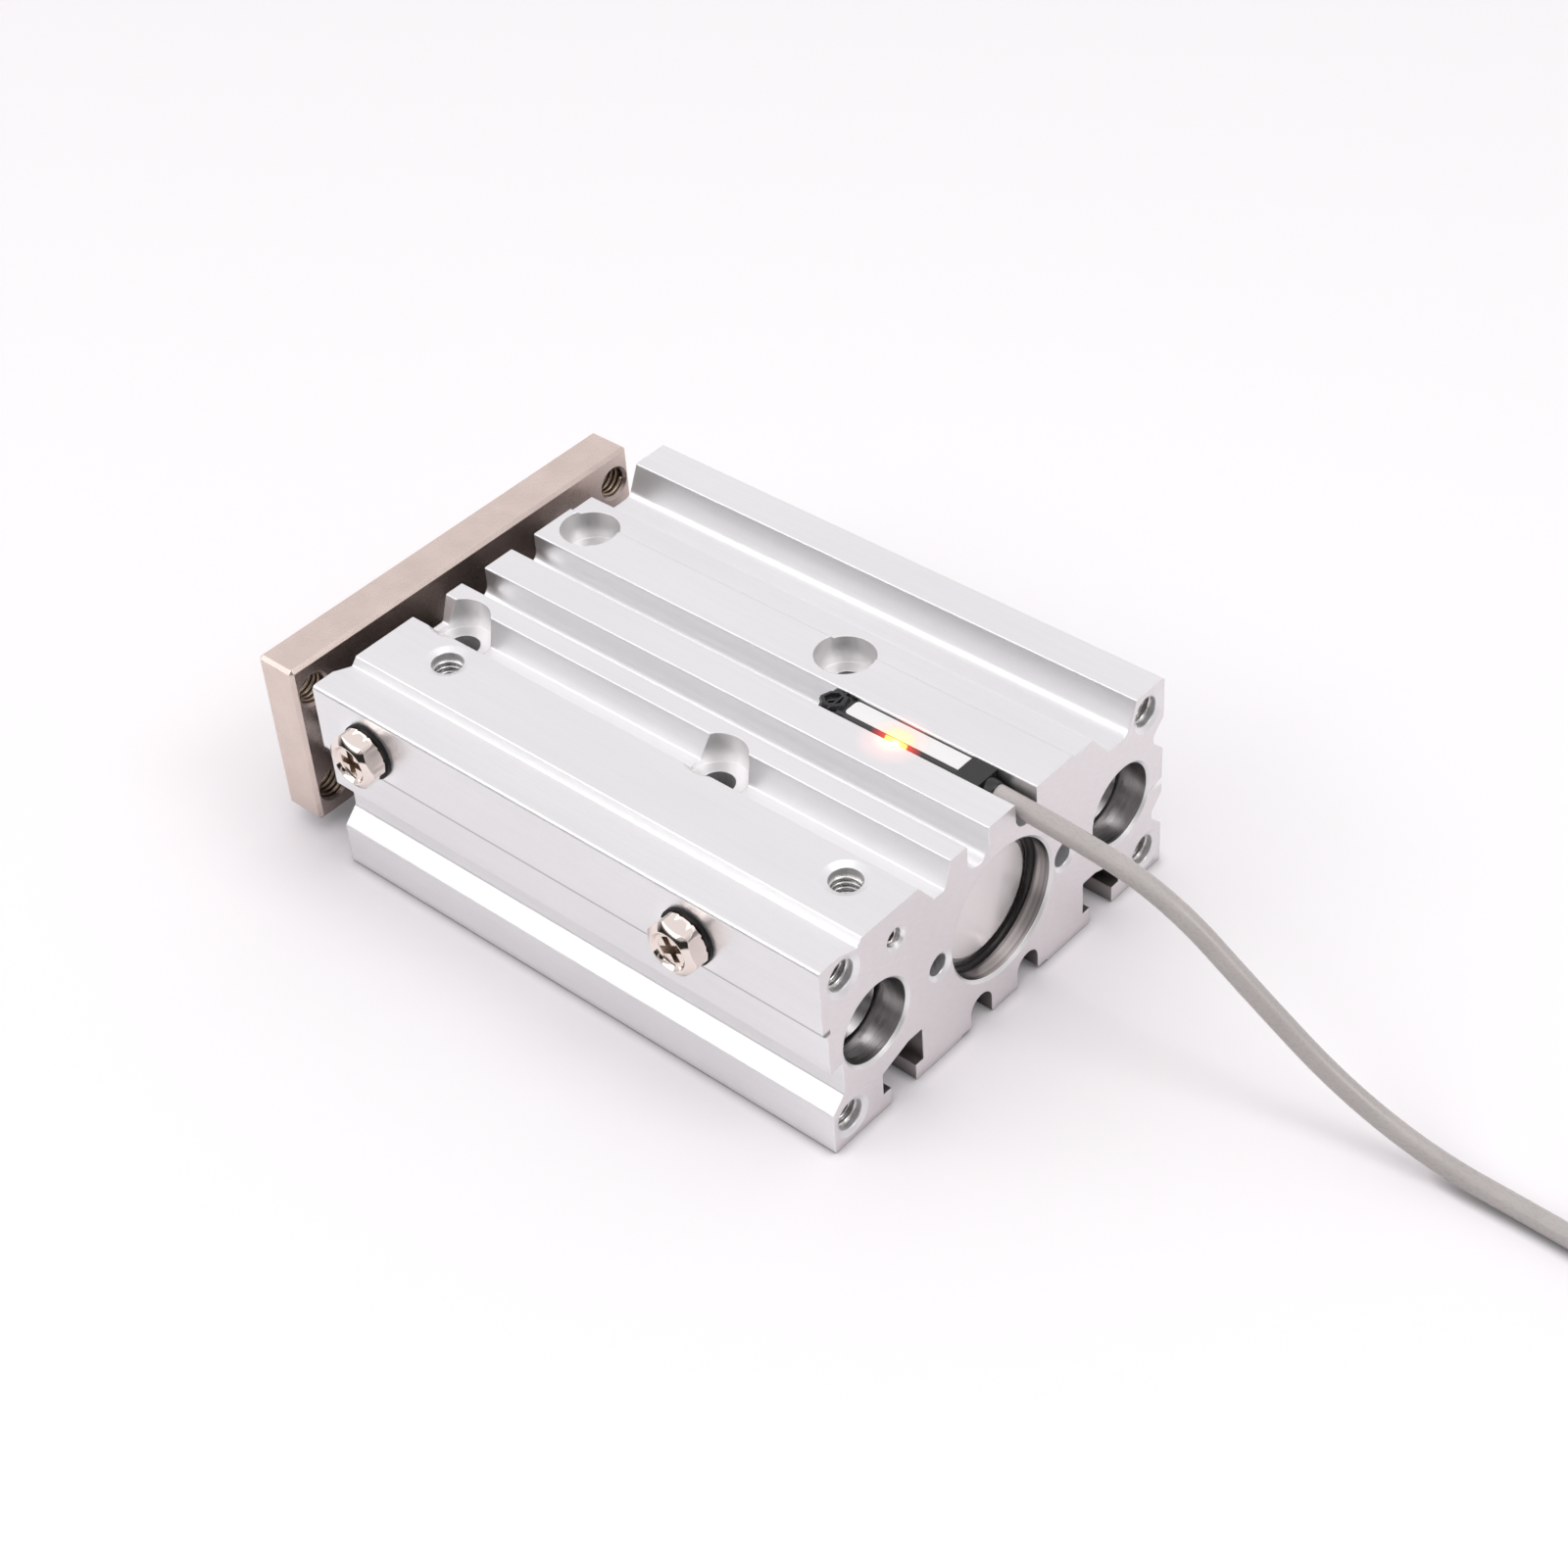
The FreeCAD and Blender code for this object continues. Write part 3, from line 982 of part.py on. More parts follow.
# ---- Assembly --------------------------------------------------------------------------
def make_parts():
    front_bush = FRONT - BUSH_SETBACK
    inner_bush = front_bush - FRONT_BUSH_LENGTH - BUSH_SPACING
    rear_port = REAR + SIDE_PORT_FROM_REAR
    front_port = FRONT - SIDE_PORT_FROM_FRONT
    return {
        "housing": make_housing(),
        "head_cover": make_head_cover(),
        "head_cover_seal": make_head_seal(),
        "head_cover_ring": make_wire_ring(),
        "rear_bumper": make_rear_bumper(),
        "rod_cover": make_rod_cover(),
        "rod_cover_seal": make_rod_cover_seal(),
        "rod_cover_circlip": make_circlip(),
        "rod_seal": make_rod_seal(),
        "front_bumper": make_front_bumper(),
        "front_bush_left": make_bush(GUIDE_Y, front_bush, FRONT_BUSH_LENGTH),
        "front_bush_right": make_bush(-GUIDE_Y, front_bush, FRONT_BUSH_LENGTH),
        "inner_bush_left": make_bush(GUIDE_Y, inner_bush, INNER_BUSH_LENGTH),
        "inner_bush_right": make_bush(-GUIDE_Y, inner_bush, INNER_BUSH_LENGTH),
        "port_plug_front": make_port_plug(front_port, FRONT_PLUG_TURN),
        "port_plug_rear": make_port_plug(rear_port, REAR_PLUG_TURN),
        "plug_gasket_front": make_gasket(front_port),
        "plug_gasket_rear": make_gasket(rear_port),
        "gallery_plug": make_gallery_plug(),
        "sensor_body": make_sensor_body(),
        "sensor_lens": make_sensor_lens(),
        "sensor_screw": make_sensor_screw(),
        "sensor_lead": make_lead(),
        "sensor_lead_coil": make_lead_coil(),
        "sensor_lead_tail": make_lead_tail(),
        "sensor_lead_cores": make_lead_cores(),
        "end_plate": make_end_plate(),
        "piston_rod": make_piston_rod(),
        "guide_rod_left": make_guide_rod(GUIDE_Y),
        "guide_rod_right": make_guide_rod(-GUIDE_Y),
        "piston": make_piston(),
        "piston_seal": make_piston_seal(),
        "piston_wear_ring": make_wear_ring(),
        "piston_magnet": make_magnet(),
        "rod_bolt": make_sunk_bolt(0, ROD_BOLT),
        "guide_bolts": Part.makeCompound([make_sunk_bolt(-GUIDE_Y, GUIDE_BOLT),
                                          make_sunk_bolt(GUIDE_Y, GUIDE_BOLT)]),
    }


os.makedirs("parts", exist_ok=True)
for node, shape in make_parts().items():
    if not shape.isValid():
        print("not valid:", node)
    shape.exportStep("parts/" + node + ".step")
    print(node, len(shape.Solids), round(shape.Volume, 1))
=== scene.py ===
import json
import math

import bmesh
import bpy
from mathutils import Matrix, Vector
from mathutils.geometry import tessellate_polygon


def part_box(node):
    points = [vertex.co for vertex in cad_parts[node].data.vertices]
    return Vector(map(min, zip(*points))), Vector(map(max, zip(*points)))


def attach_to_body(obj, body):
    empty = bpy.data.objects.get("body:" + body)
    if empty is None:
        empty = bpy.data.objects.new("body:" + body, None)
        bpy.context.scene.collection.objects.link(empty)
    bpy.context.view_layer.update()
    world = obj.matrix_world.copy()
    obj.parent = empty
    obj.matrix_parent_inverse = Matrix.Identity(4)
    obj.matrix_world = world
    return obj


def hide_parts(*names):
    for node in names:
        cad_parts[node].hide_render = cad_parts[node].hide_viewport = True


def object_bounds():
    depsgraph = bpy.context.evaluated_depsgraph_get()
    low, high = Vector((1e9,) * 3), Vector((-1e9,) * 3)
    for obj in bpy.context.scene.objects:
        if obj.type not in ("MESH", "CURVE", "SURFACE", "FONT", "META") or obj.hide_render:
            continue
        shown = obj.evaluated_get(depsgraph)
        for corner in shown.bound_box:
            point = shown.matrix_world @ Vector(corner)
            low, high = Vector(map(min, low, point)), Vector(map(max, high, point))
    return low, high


# Everything is in metres, in the CAD frame: +X the way the end plate extends, +Y the side
# with the port plugs, +Z up.  MM turns the part's millimetres into metres.
MM = 0.001

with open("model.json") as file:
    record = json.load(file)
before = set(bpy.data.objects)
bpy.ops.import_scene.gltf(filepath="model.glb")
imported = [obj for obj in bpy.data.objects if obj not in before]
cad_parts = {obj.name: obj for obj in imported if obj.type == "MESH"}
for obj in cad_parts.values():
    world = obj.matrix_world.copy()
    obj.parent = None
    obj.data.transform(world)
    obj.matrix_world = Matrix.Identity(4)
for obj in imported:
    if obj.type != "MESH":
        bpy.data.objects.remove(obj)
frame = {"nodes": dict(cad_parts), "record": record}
nodes = frame["nodes"]
mounts = {mount["name"]: mount for mount in frame["record"]["mounts"]}
cad_low, cad_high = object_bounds()
scene = bpy.context.scene


# ---- Objects ---------------------------------------------------------------------------
def add_mesh(name, points, faces, smooth=False):
    """New mesh object from points in metres."""
    data = bpy.data.meshes.new(name)
    data.from_pydata([tuple(p) for p in points], [], faces)
    data.validate()
    data.shade_smooth() if smooth else data.shade_flat()
    thing = bpy.data.objects.new(name, data)
    scene.collection.objects.link(thing)
    return thing


def attach(thing, body, material):
    """Make a new piece ride on a body and give it its material."""
    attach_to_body(thing, body)
    thing.data.materials.append(material)
    return thing


def loft(name, rings, closed=False, smooth=True):
    """Skin over rings of points.  The ends are capped unless the rings form a loop."""
    count = len(rings[0])
    points = [point for ring in rings for point in ring]
    faces = []
    spans = len(rings) if closed else len(rings) - 1
    for i in range(spans):
        a = i * count
        b = (i + 1) % len(rings) * count
        for j in range(count):
            k = (j + 1) % count
            faces.append((a + j, a + k, b + k, b + j))
    if not closed:
        faces.append(tuple(reversed(range(count))))
        faces.append(tuple(range((len(rings) - 1) * count, len(rings) * count)))
    return add_mesh(name, points, faces, smooth)


# ---- Shader helpers --------------------------------------------------------------------
class Shader:
    """A node material with short helpers for procedural patterns."""

    def __init__(self, name, color, metallic=0.0, roughness=0.5):
        self.material = bpy.data.materials.new(name)
        self.material.use_nodes = True
        self.tree = self.material.node_tree
        self.bsdf = self.tree.nodes["Principled BSDF"]
        self.bsdf.inputs["Base Color"].default_value = (*color, 1)
        self.bsdf.inputs["Metallic"].default_value = metallic
        self.bsdf.inputs["Roughness"].default_value = roughness
        self.coords = self.node("ShaderNodeTexCoord").outputs["Object"]

    def node(self, kind, **values):
        made = self.tree.nodes.new(kind)
        for key, value in values.items():
            setattr(made, key, value)
        return made

    def link(self, source, target):
        self.tree.links.new(source, target)

    def stretched(self, scale):
        """Object coordinates, in metres, times a scale for each axis."""
        mapping = self.node("ShaderNodeMapping")
        mapping.inputs["Scale"].default_value = scale
        self.link(self.coords, mapping.inputs["Vector"])
        return mapping.outputs["Vector"]

    def noise(self, size_mm, stretch=(1, 1, 1), detail=3.0):
        """Noise whose grain is about size_mm, longer along an axis with a small stretch."""
        texture = self.node("ShaderNodeTexNoise")
        texture.inputs["Scale"].default_value = 1.0 / (size_mm * MM)
        texture.inputs["Detail"].default_value = detail
        self.link(self.stretched(stretch), texture.inputs["Vector"])
        return texture.outputs["Fac"]

    def ramp(self, factor, stops):
        """Colour ramp of (position, colour)."""
        ramp = self.node("ShaderNodeValToRGB")
        elements = ramp.color_ramp.elements
        while len(elements) < len(stops):
            elements.new(0.5)
        for element, (position, color) in zip(elements, stops):
            element.position = position
            element.color = (*color, 1)
        self.link(factor, ramp.inputs["Fac"])
        return ramp.outputs["Color"]

    def span(self, factor, low, high, start=0.3, end=0.7):
        """Map a factor's range onto low..high."""
        made = self.node("ShaderNodeMapRange")
        made.inputs["From Min"].default_value = start
        made.inputs["From Max"].default_value = end
        made.inputs["To Min"].default_value = low
        made.inputs["To Max"].default_value = high
        self.link(factor, made.inputs["Value"])
        return made.outputs["Result"]

    def math(self, operation, a, b):
        made = self.node("ShaderNodeMath", operation=operation)
        for socket, value in zip(made.inputs, (a, b)):
            if isinstance(value, (int, float)):
                socket.default_value = value
            else:
                self.link(value, socket)
        return made.outputs["Value"]

    def mix(self, factor, first, second):
        made = self.node("ShaderNodeMix", data_type="RGBA")
        self.link(factor, made.inputs["Factor"])
        for socket, value in ((made.inputs["A"], first), (made.inputs["B"], second)):
            if isinstance(value, tuple):
                socket.default_value = (*value, 1)
            else:
                self.link(value, socket)
        return made.outputs["Result"]

    def edge_mask(self, radius_mm):
        """1 on sharp edges and 0 on flats, from how far a bevel turns the normal."""
        bevel = self.node("ShaderNodeBevel", samples=4)
        bevel.inputs["Radius"].default_value = radius_mm * MM
        geometry = self.node("ShaderNodeNewGeometry")
        dot = self.node("ShaderNodeVectorMath", operation="DOT_PRODUCT")
        self.link(bevel.outputs["Normal"], dot.inputs[0])
        self.link(geometry.outputs["True Normal"], dot.inputs[1])
        return self.span(dot.outputs["Value"], 1.0, 0.0, 0.85, 0.995)

    def crease(self, reach_mm):
        """Ambient-occlusion mask for painted shade: 0 deep in a groove or under a step, 1 on open faces.
        """
        made = self.node("ShaderNodeAmbientOcclusion", samples=8)
        made.inputs["Distance"].default_value = reach_mm * MM
        return made.outputs["AO"]

    def with_painted_shade(self, reach_mm, surface):
        """A surface colour with painted shade: it goes dark deep in a hollow or a narrow gap, by ambient
        occlusion.
        """
        unshaded_share = self.span(self.crease(reach_mm), 0.06, 1.0, 0.12, 0.8)
        return self.mix(unshaded_share, BLACK, surface)

    def color(self, source):
        self.link(source, self.bsdf.inputs["Base Color"])

    def roughness(self, source):
        self.link(source, self.bsdf.inputs["Roughness"])

    def bump(self, height, depth_mm, strength=1.0, edge_mm=0.0):
        """Bump of a real depth, over edges rounded by edge_mm."""
        made = self.node("ShaderNodeBump")
        made.inputs["Strength"].default_value = strength
        made.inputs["Distance"].default_value = depth_mm * MM
        self.link(height, made.inputs["Height"])
        if edge_mm:
            bevel = self.node("ShaderNodeBevel", samples=4)
            bevel.inputs["Radius"].default_value = edge_mm * MM
            self.link(bevel.outputs["Normal"], made.inputs["Normal"])
        self.link(made.outputs["Normal"], self.bsdf.inputs["Normal"])


def shade(color, factor):
    return tuple(channel * factor for channel in color)


# ---- Materials -------------------------------------------------------------------------
BLACK = (0.0, 0.0, 0.0)
SHADE_LINE_Z = 19.95            # painted shadow line under the side ports, where the side steps in, on faces beyond the Y limit below
SHADE_LINE_Y = 31.5


def anodised():
    """Finely blasted, clear-anodised extrusion; the sawn and milled end faces are warmer. Painted shade
    darkens its grooves and a line under the side ports, painted highlights lighten edges and groove
    walls, and the sensor lamp's light is painted on as a glow.
    """
    base = (0.895, 0.89, 0.90)
    milled = (0.845, 0.805, 0.815)
    shader = Shader("anodised", base, metallic=0.94, roughness=0.36)
    grain = shader.noise(0.12, detail=4.0)
    cloud = shader.noise(9.0, (0.25, 1, 1))
    drawn = shader.noise(0.35, (0.012, 1, 1), detail=2.0)
    blasted = shader.ramp(cloud, [(0.3, shade(base, 0.975)), (0.7, shade(base, 1.025))])
    streaked = shader.mix(shader.span(drawn, 0.0, 0.14, 0.35, 0.7), blasted, shade(base, 0.86))
    speckled = shader.mix(shader.span(grain, 0.0, 0.2, 0.5, 0.72), streaked, shade(base, 0.78))
    geometry = shader.node("ShaderNodeNewGeometry")
    facing = shader.node("ShaderNodeSeparateXYZ")
    shader.link(geometry.outputs["True Normal"], facing.inputs["Vector"])
    end_face = shader.math("GREATER_THAN", shader.math("ABSOLUTE", facing.outputs["X"], 0.0), 0.97)
    marks = shader.noise(0.10, (1, 0.08, 1.6), detail=2.0)
    cut = shader.ramp(marks, [(0.35, shade(milled, 0.95)), (0.65, shade(milled, 1.04))])
    shelter = shader.crease(3.0)
    # painted light: walls part-sheltered in a groove are whitened towards near white
    groove_whitened = shader.mix(shader.span(shelter, 0.0, 1.0, 0.55, 0.92), (0.99, 0.985, 0.995), speckled)
    surface = shader.mix(end_face, groove_whitened, cut)
    # painted highlight: sharp edges lightened towards near white
    edge = shader.edge_mask(0.22)
    edge_highlighted = shader.mix(shader.math("MULTIPLY", edge, 0.85), surface, (0.98, 0.98, 0.985))
    # painted shadow line under the side ports, a band in Z taken off the unshaded share below
    place = shader.node("ShaderNodeSeparateXYZ")
    shader.link(shader.coords, place.inputs["Vector"])
    from_shade_line = shader.math("ABSOLUTE", shader.math("SUBTRACT", place.outputs["Z"], SHADE_LINE_Z * MM), 0.0)
    shade_line = shader.math("MULTIPLY", shader.span(from_shade_line, 0.7, 0.0, 0.1 * MM, 0.55 * MM),
                       shader.math("GREATER_THAN", place.outputs["Y"], SHADE_LINE_Y * MM))
    # painted shade: darker deep in grooves and under steps, and along the shadow line
    unshaded_share = shader.math("SUBTRACT", shader.span(shelter, 0.35, 1.0, 0.05, 0.5), shade_line)
    shader.color(shader.mix(unshaded_share, BLACK, edge_highlighted))
    spread = shader.span(grain, 0.30, 0.44)
    shader.roughness(shader.math("SUBTRACT", spread, shader.math("MULTIPLY", edge, 0.08)))
    height = shader.math("ADD", grain, shader.math("MULTIPLY", end_face, marks))
    shader.bump(height, 0.012, 0.7, edge_mm=0.18)
    # painted light: the sensor lamp's glow spilling onto the housing, as emission
    lamp_glow(shader, 5.0,
              [(0.0, (1.0, 0.7, 0.3)), (0.33, (0.9, 0.42, 0.2)), (0.6, (0.24, 0.07, 0.05)),
               (1.0, BLACK)], 0.8)
    return shader.material


def plain_metal(name, color, roughness, grain_mm=0.2, depth_mm=0.003, edge_mm=0.12,
                contrast=0.05, shade_reach_mm=0.0):
    """Metal with a fine grain, slight colour variation, painted highlights on its edges and, when asked,
    painted shade deep in hollows.
    """
    shader = Shader(name, color, metallic=1.0, roughness=roughness)
    grain = shader.noise(grain_mm)
    cloud = shader.noise(grain_mm * 25)
    surface = shader.ramp(cloud, [(0.3, shade(color, 1 - contrast)), (0.7, shade(color, 1 + contrast))])
    # painted shade: darkened deep in hollows within the given reach
    if shade_reach_mm:
        surface = shader.with_painted_shade(shade_reach_mm, surface)
    edge = shader.edge_mask(edge_mm)
    # painted highlight: edges lightened towards 1.25 times the colour
    shader.color(shader.mix(shader.math("MULTIPLY", edge, 0.6), surface, shade(color, 1.25)))
    shader.roughness(shader.span(grain, roughness * 0.85, roughness * 1.2))
    shader.bump(grain, depth_mm, 0.6, edge_mm=edge_mm)
    return shader.material


def turned_metal(name, color, roughness, contrast=0.07, shade_reach_mm=0.0, depth_mm=0.004):
    """Lathe-turned metal: fine rings round the X axis, with painted shade deep in a hollow."""
    shader = Shader(name, color, metallic=1.0, roughness=roughness)
    rings = shader.noise(0.12, (1, 0.02, 0.02))
    bands = shader.noise(0.55, (1, 0.02, 0.02), detail=1.0)
    surface = shader.ramp(bands, [(0.35, shade(color, 1 - contrast)), (0.65, shade(color, 1 + contrast))])
    if shade_reach_mm:
        surface = shader.with_painted_shade(shade_reach_mm, surface)
    shader.color(surface)
    shader.roughness(shader.span(rings, roughness * 0.8, roughness * 1.25))
    shader.bump(rings, depth_mm, 0.7, edge_mm=0.1)
    return shader.material


def moulded(name, color, roughness, grain_mm=0.15, depth_mm=0.006, edge_mm=0.08, gloss=0.5):
    """Plastic or rubber with a fine moulded grain and painted highlights that make its edges paler."""
    shader = Shader(name, color, roughness=roughness)
    shader.bsdf.inputs["Specular IOR Level"].default_value = gloss
    grain = shader.noise(grain_mm)
    cloud = shader.noise(grain_mm * 18)
    surface = shader.ramp(cloud, [(0.3, shade(color, 0.85)), (0.7, shade(color, 1.15))])
    edge = shader.edge_mask(edge_mm)
    # painted highlight: edges lightened towards 1.8 times the colour
    shader.color(shader.mix(shader.math("MULTIPLY", edge, 0.5), surface, shade(color, 1.8)))
    shader.roughness(shader.span(grain, roughness * 0.85, roughness * 1.15))
    shader.bump(grain, depth_mm, 0.7, edge_mm=edge_mm)
    return shader.material


def by_lamp_distance(shader, reach_mm, stops):
    """Colour by the distance from the sensor's lamp, as a share of reach_mm."""
    low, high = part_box("sensor_lens")
    offset = shader.node("ShaderNodeVectorMath", operation="DISTANCE")
    shader.link(shader.coords, offset.inputs[0])
    offset.inputs[1].default_value = (low + high) / 2
    return shader.ramp(shader.math("DIVIDE", offset.outputs["Value"], reach_mm * MM), stops)


def lamp_glow(shader, reach_mm, stops, strength):
    """Emission that fades with the distance from the lamp: the lamp's own glow on its lens, and its light
    painted onto the parts around it.
    """
    shader.link(by_lamp_distance(shader, reach_mm, stops), shader.bsdf.inputs["Emission Color"])
    shader.bsdf.inputs["Emission Strength"].default_value = strength


def sensor_plastic():
    shader = Shader("sensor_plastic", (0.012, 0.012, 0.013), roughness=0.34)
    grain = shader.noise(0.12)
    shader.color(shader.ramp(grain, [(0.35, (0.014, 0.014, 0.015)), (0.7, (0.026, 0.025, 0.026))]))
    shader.bump(grain, 0.006, 0.7, edge_mm=0.08)
    # painted light: the lamp's red glow spilling over the black body near the lens
    lamp_glow(shader, 4.0,
              [(0.0, (1.0, 0.28, 0.02)), (0.55, (0.75, 0.02, 0.01)), (1.0, BLACK)], 1.0)
    return shader.material


def lens_glow():
    shader = Shader("lens_glow", (0.9, 0.35, 0.1), roughness=0.25)
    grain = shader.noise(0.4)
    shader.roughness(shader.span(grain, 0.2, 0.3))
    lamp_glow(shader, 2.3,
              [(0.0, (1.0, 0.95, 0.55)), (0.45, (1.0, 0.62, 0.05)), (0.8, (1.0, 0.16, 0.02)),
               (1.0, (0.8, 0.03, 0.01))], 2.6)
    return shader.material


def label_vinyl():
    """Bare white label with the warm light of the lamp beside it painted on, as a glow and as a warmer
    colour near the lamp.
    """
    shader = Shader("label_vinyl", (0.86, 0.86, 0.86), roughness=0.5)
    grain = shader.noise(0.25)
    shader.roughness(shader.span(grain, 0.42, 0.55))
    lamp_glow(shader, 4.2,
              [(0.0, (1.0, 0.75, 0.25)), (0.35, (0.9, 0.40, 0.12)), (0.7, (0.22, 0.03, 0.02)),
               (1.0, BLACK)], 0.9)
    # painted light: base colour warmer towards the lamp
    shader.color(by_lamp_distance(shader, 5.0, [
        (0.25, (0.90, 0.82, 0.45)), (0.42, (0.88, 0.68, 0.50)),
        (0.62, (0.84, 0.79, 0.76)), (1.0, (0.83, 0.83, 0.83))]))
    return shader.material


def sheath():
    """Smooth grey vinyl."""
    shader = Shader("lead_sheath", (0.46, 0.43, 0.42), roughness=0.28)
    grain = shader.noise(0.25, (0.3, 1, 1))
    cloud = shader.noise(6.0)
    shader.color(shader.ramp(cloud, [(0.3, (0.43, 0.40, 0.391)), (0.7, (0.48, 0.448, 0.438))]))
    shader.roughness(shader.span(grain, 0.24, 0.34))
    shader.bump(grain, 0.006, 0.4)
    return shader.material


def core_insulation():
    """Brown on the +Y side and blue on the other."""
    low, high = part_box("sensor_lead_cores")
    shader = Shader("core_insulation", (0.2, 0.08, 0.03), roughness=0.35)
    split = shader.node("ShaderNodeSeparateXYZ")
    shader.link(shader.coords, split.inputs["Vector"])
    slope = (high.y - low.y) / (high.x - low.x)
    level = shader.math("SUBTRACT", split.outputs["Y"],
                        shader.math("MULTIPLY", split.outputs["X"], slope * 0.63))
    middle = (low.y + high.y) / 2 - (low.x + high.x) / 2 * slope * 0.63
    side = shader.math("GREATER_THAN", level, middle)
    shader.color(shader.mix(side, (0.03, 0.10, 0.42), (0.20, 0.075, 0.03)))
    return shader.material


# ---- Camera ----------------------------------------------------------------------------
def make_camera():
    azimuth = math.radians(224.06)
    elevation = math.radians(41.092)
    roll = math.radians(-4.494)
    target = Vector((-5.598, -1.293, 15.0)) * MM
    distance = 379.852 * MM
    back = Vector((math.sin(azimuth) * math.cos(elevation),
                   -math.cos(azimuth) * math.cos(elevation), math.sin(elevation)))
    right = Vector((0, 0, 1)).cross(back).normalized()
    up = back.cross(right)
    right, up = (math.cos(roll) * right + math.sin(roll) * up,
                 math.cos(roll) * up - math.sin(roll) * right)
    data = bpy.data.cameras.new("camera")
    data.sensor_width = 36.0
    data.lens = 69.5
    data.clip_start = 0.01
    data.clip_end = 20.0
    camera = bpy.data.objects.new("camera", data)
    camera.matrix_world = Matrix.Translation(target + back * distance) @ Matrix(
        (right, up, back)).transposed().to_4x4()
    scene.collection.objects.link(camera)
    scene.camera = camera


# ---- Sensor lead -----------------------------------------------------------------------
CORD = 2.7                # the lead's diameter, in millimetres like all sizes of the lead
COIL_CENTRE = Vector((-131.5, -24.35, 0))
COIL_RADIUS = 15.0        # middle of the coil's two layers of turns
COIL_STEPS = 16           # control points in one turn
COIL_CLIMB = 0.75         # share of a turn after which it leaves for the next one's place


def coil_points(start, end):
    """Four turns of control points: two layers of two, walked from one level to the next."""
    turns = [(COIL_RADIUS + CORD / 2, start), (COIL_RADIUS - CORD / 2, start),
             (COIL_RADIUS - CORD / 2, end), (COIL_RADIUS + CORD / 2, end)]
    points = []
    for i in range(len(turns) * COIL_STEPS + 1):
        turn, part = divmod(i / COIL_STEPS, 1)
        turn = min(int(turn), len(turns) - 1)
        radius, z = turns[turn]
        if turn < len(turns) - 1 and part > COIL_CLIMB:
            ease = (part - COIL_CLIMB) / (1 - COIL_CLIMB)
            radius += (turns[turn + 1][0] - radius) * ease
            z += (turns[turn + 1][1] - z) * ease
        angle = math.pi / 2 + 2 * math.pi * i / COIL_STEPS
        reach = radius / math.sqrt(math.cos(math.pi / COIL_STEPS))
        points.append(COIL_CENTRE + Vector((reach * math.cos(angle), reach * math.sin(angle), z)))
    return points


def lead_points():
    """Control points of the lead: down to the floor, the coil, and the tail."""
    floor = CORD / 2
    upper = 1.5 * CORD
    down = [
        Vector((-35.7, -4.55, 28.0)),
        Vector((-48.8, -4.6, 27.5)),
        Vector((-62.0, -4.9, 24.8)),
        Vector((-74.0, -5.6, 15.8)),
        Vector((-85.0, -6.7, 7.4)),
        Vector((-97.0, -7.7, 2.3)),
        Vector((-109.0, -8.2, floor)),
        Vector((-120.5, -7.8, floor)),
    ]
    tail = [
        Vector((-138.6, -8.1, upper - 0.3)),
        Vector((-146.0, -9.0, floor + 0.3)),
        Vector((-153.0, -10.6, floor)),
    ]
    return down + coil_points(floor, upper) + tail


def make_lead():
    data = bpy.data.curves.new("lead_sheath", "CURVE")
    data.dimensions = "3D"
    spline = data.splines.new("NURBS")
    points = lead_points()
    spline.points.add(len(points) - 1)
    for control, point in zip(spline.points, points):
        control.co = (*(point * MM), 1.0)
        control.radius = CORD / 2 * MM
    spline.order_u = 3
    spline.use_endpoint_u = True
    spline.resolution_u = 12
    data.bevel_depth = 1.0    # times each point's radius, which also sets the curve's box
    data.bevel_resolution = 6
    data.use_fill_caps = True
    lead = bpy.data.objects.new("lead_sheath", data)
    scene.collection.objects.link(lead)
    attach(lead, "cylinder", sheath())
    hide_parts("sensor_lead", "sensor_lead_coil", "sensor_lead_tail")


# ---- Port plugs ------------------------------------------------------------------------
PLUG_FLAT = 3.5           # from the axis to a flat, in millimetres
PLUG_CORNER = 3.88        # from the axis to a corner, which is turned off round
PLUG_HOLLOW = 0.62        # depth of the hollow inside the rim
PLUG_STEPS = 144          # points in one ring
CHAMFER_RADIUS = 2.86     # where the cone-shaped chamfer starts
CHAMFER_SLOPE = 0.72
CROSS_HALF_WIDTH = 0.55
CROSS_REACH = ((1.8, 0.0), (1.3, 1.0))    # half length of an arm, at a depth below the hollow
CROSS_CORNERS = 12
SMOOTH_BELOW = math.radians(28)


def plug_ring(centre, radius_at, height_at):
    """Ring of points round a plug's axis, which points along +Y."""
    ring = []
    for i in range(PLUG_STEPS):
        angle = 2 * math.pi * i / PLUG_STEPS
        radius = radius_at(angle)
        ring.append((centre + Vector((radius * math.cos(angle), height_at(radius),
                                      radius * math.sin(angle)))) * MM)
    return ring


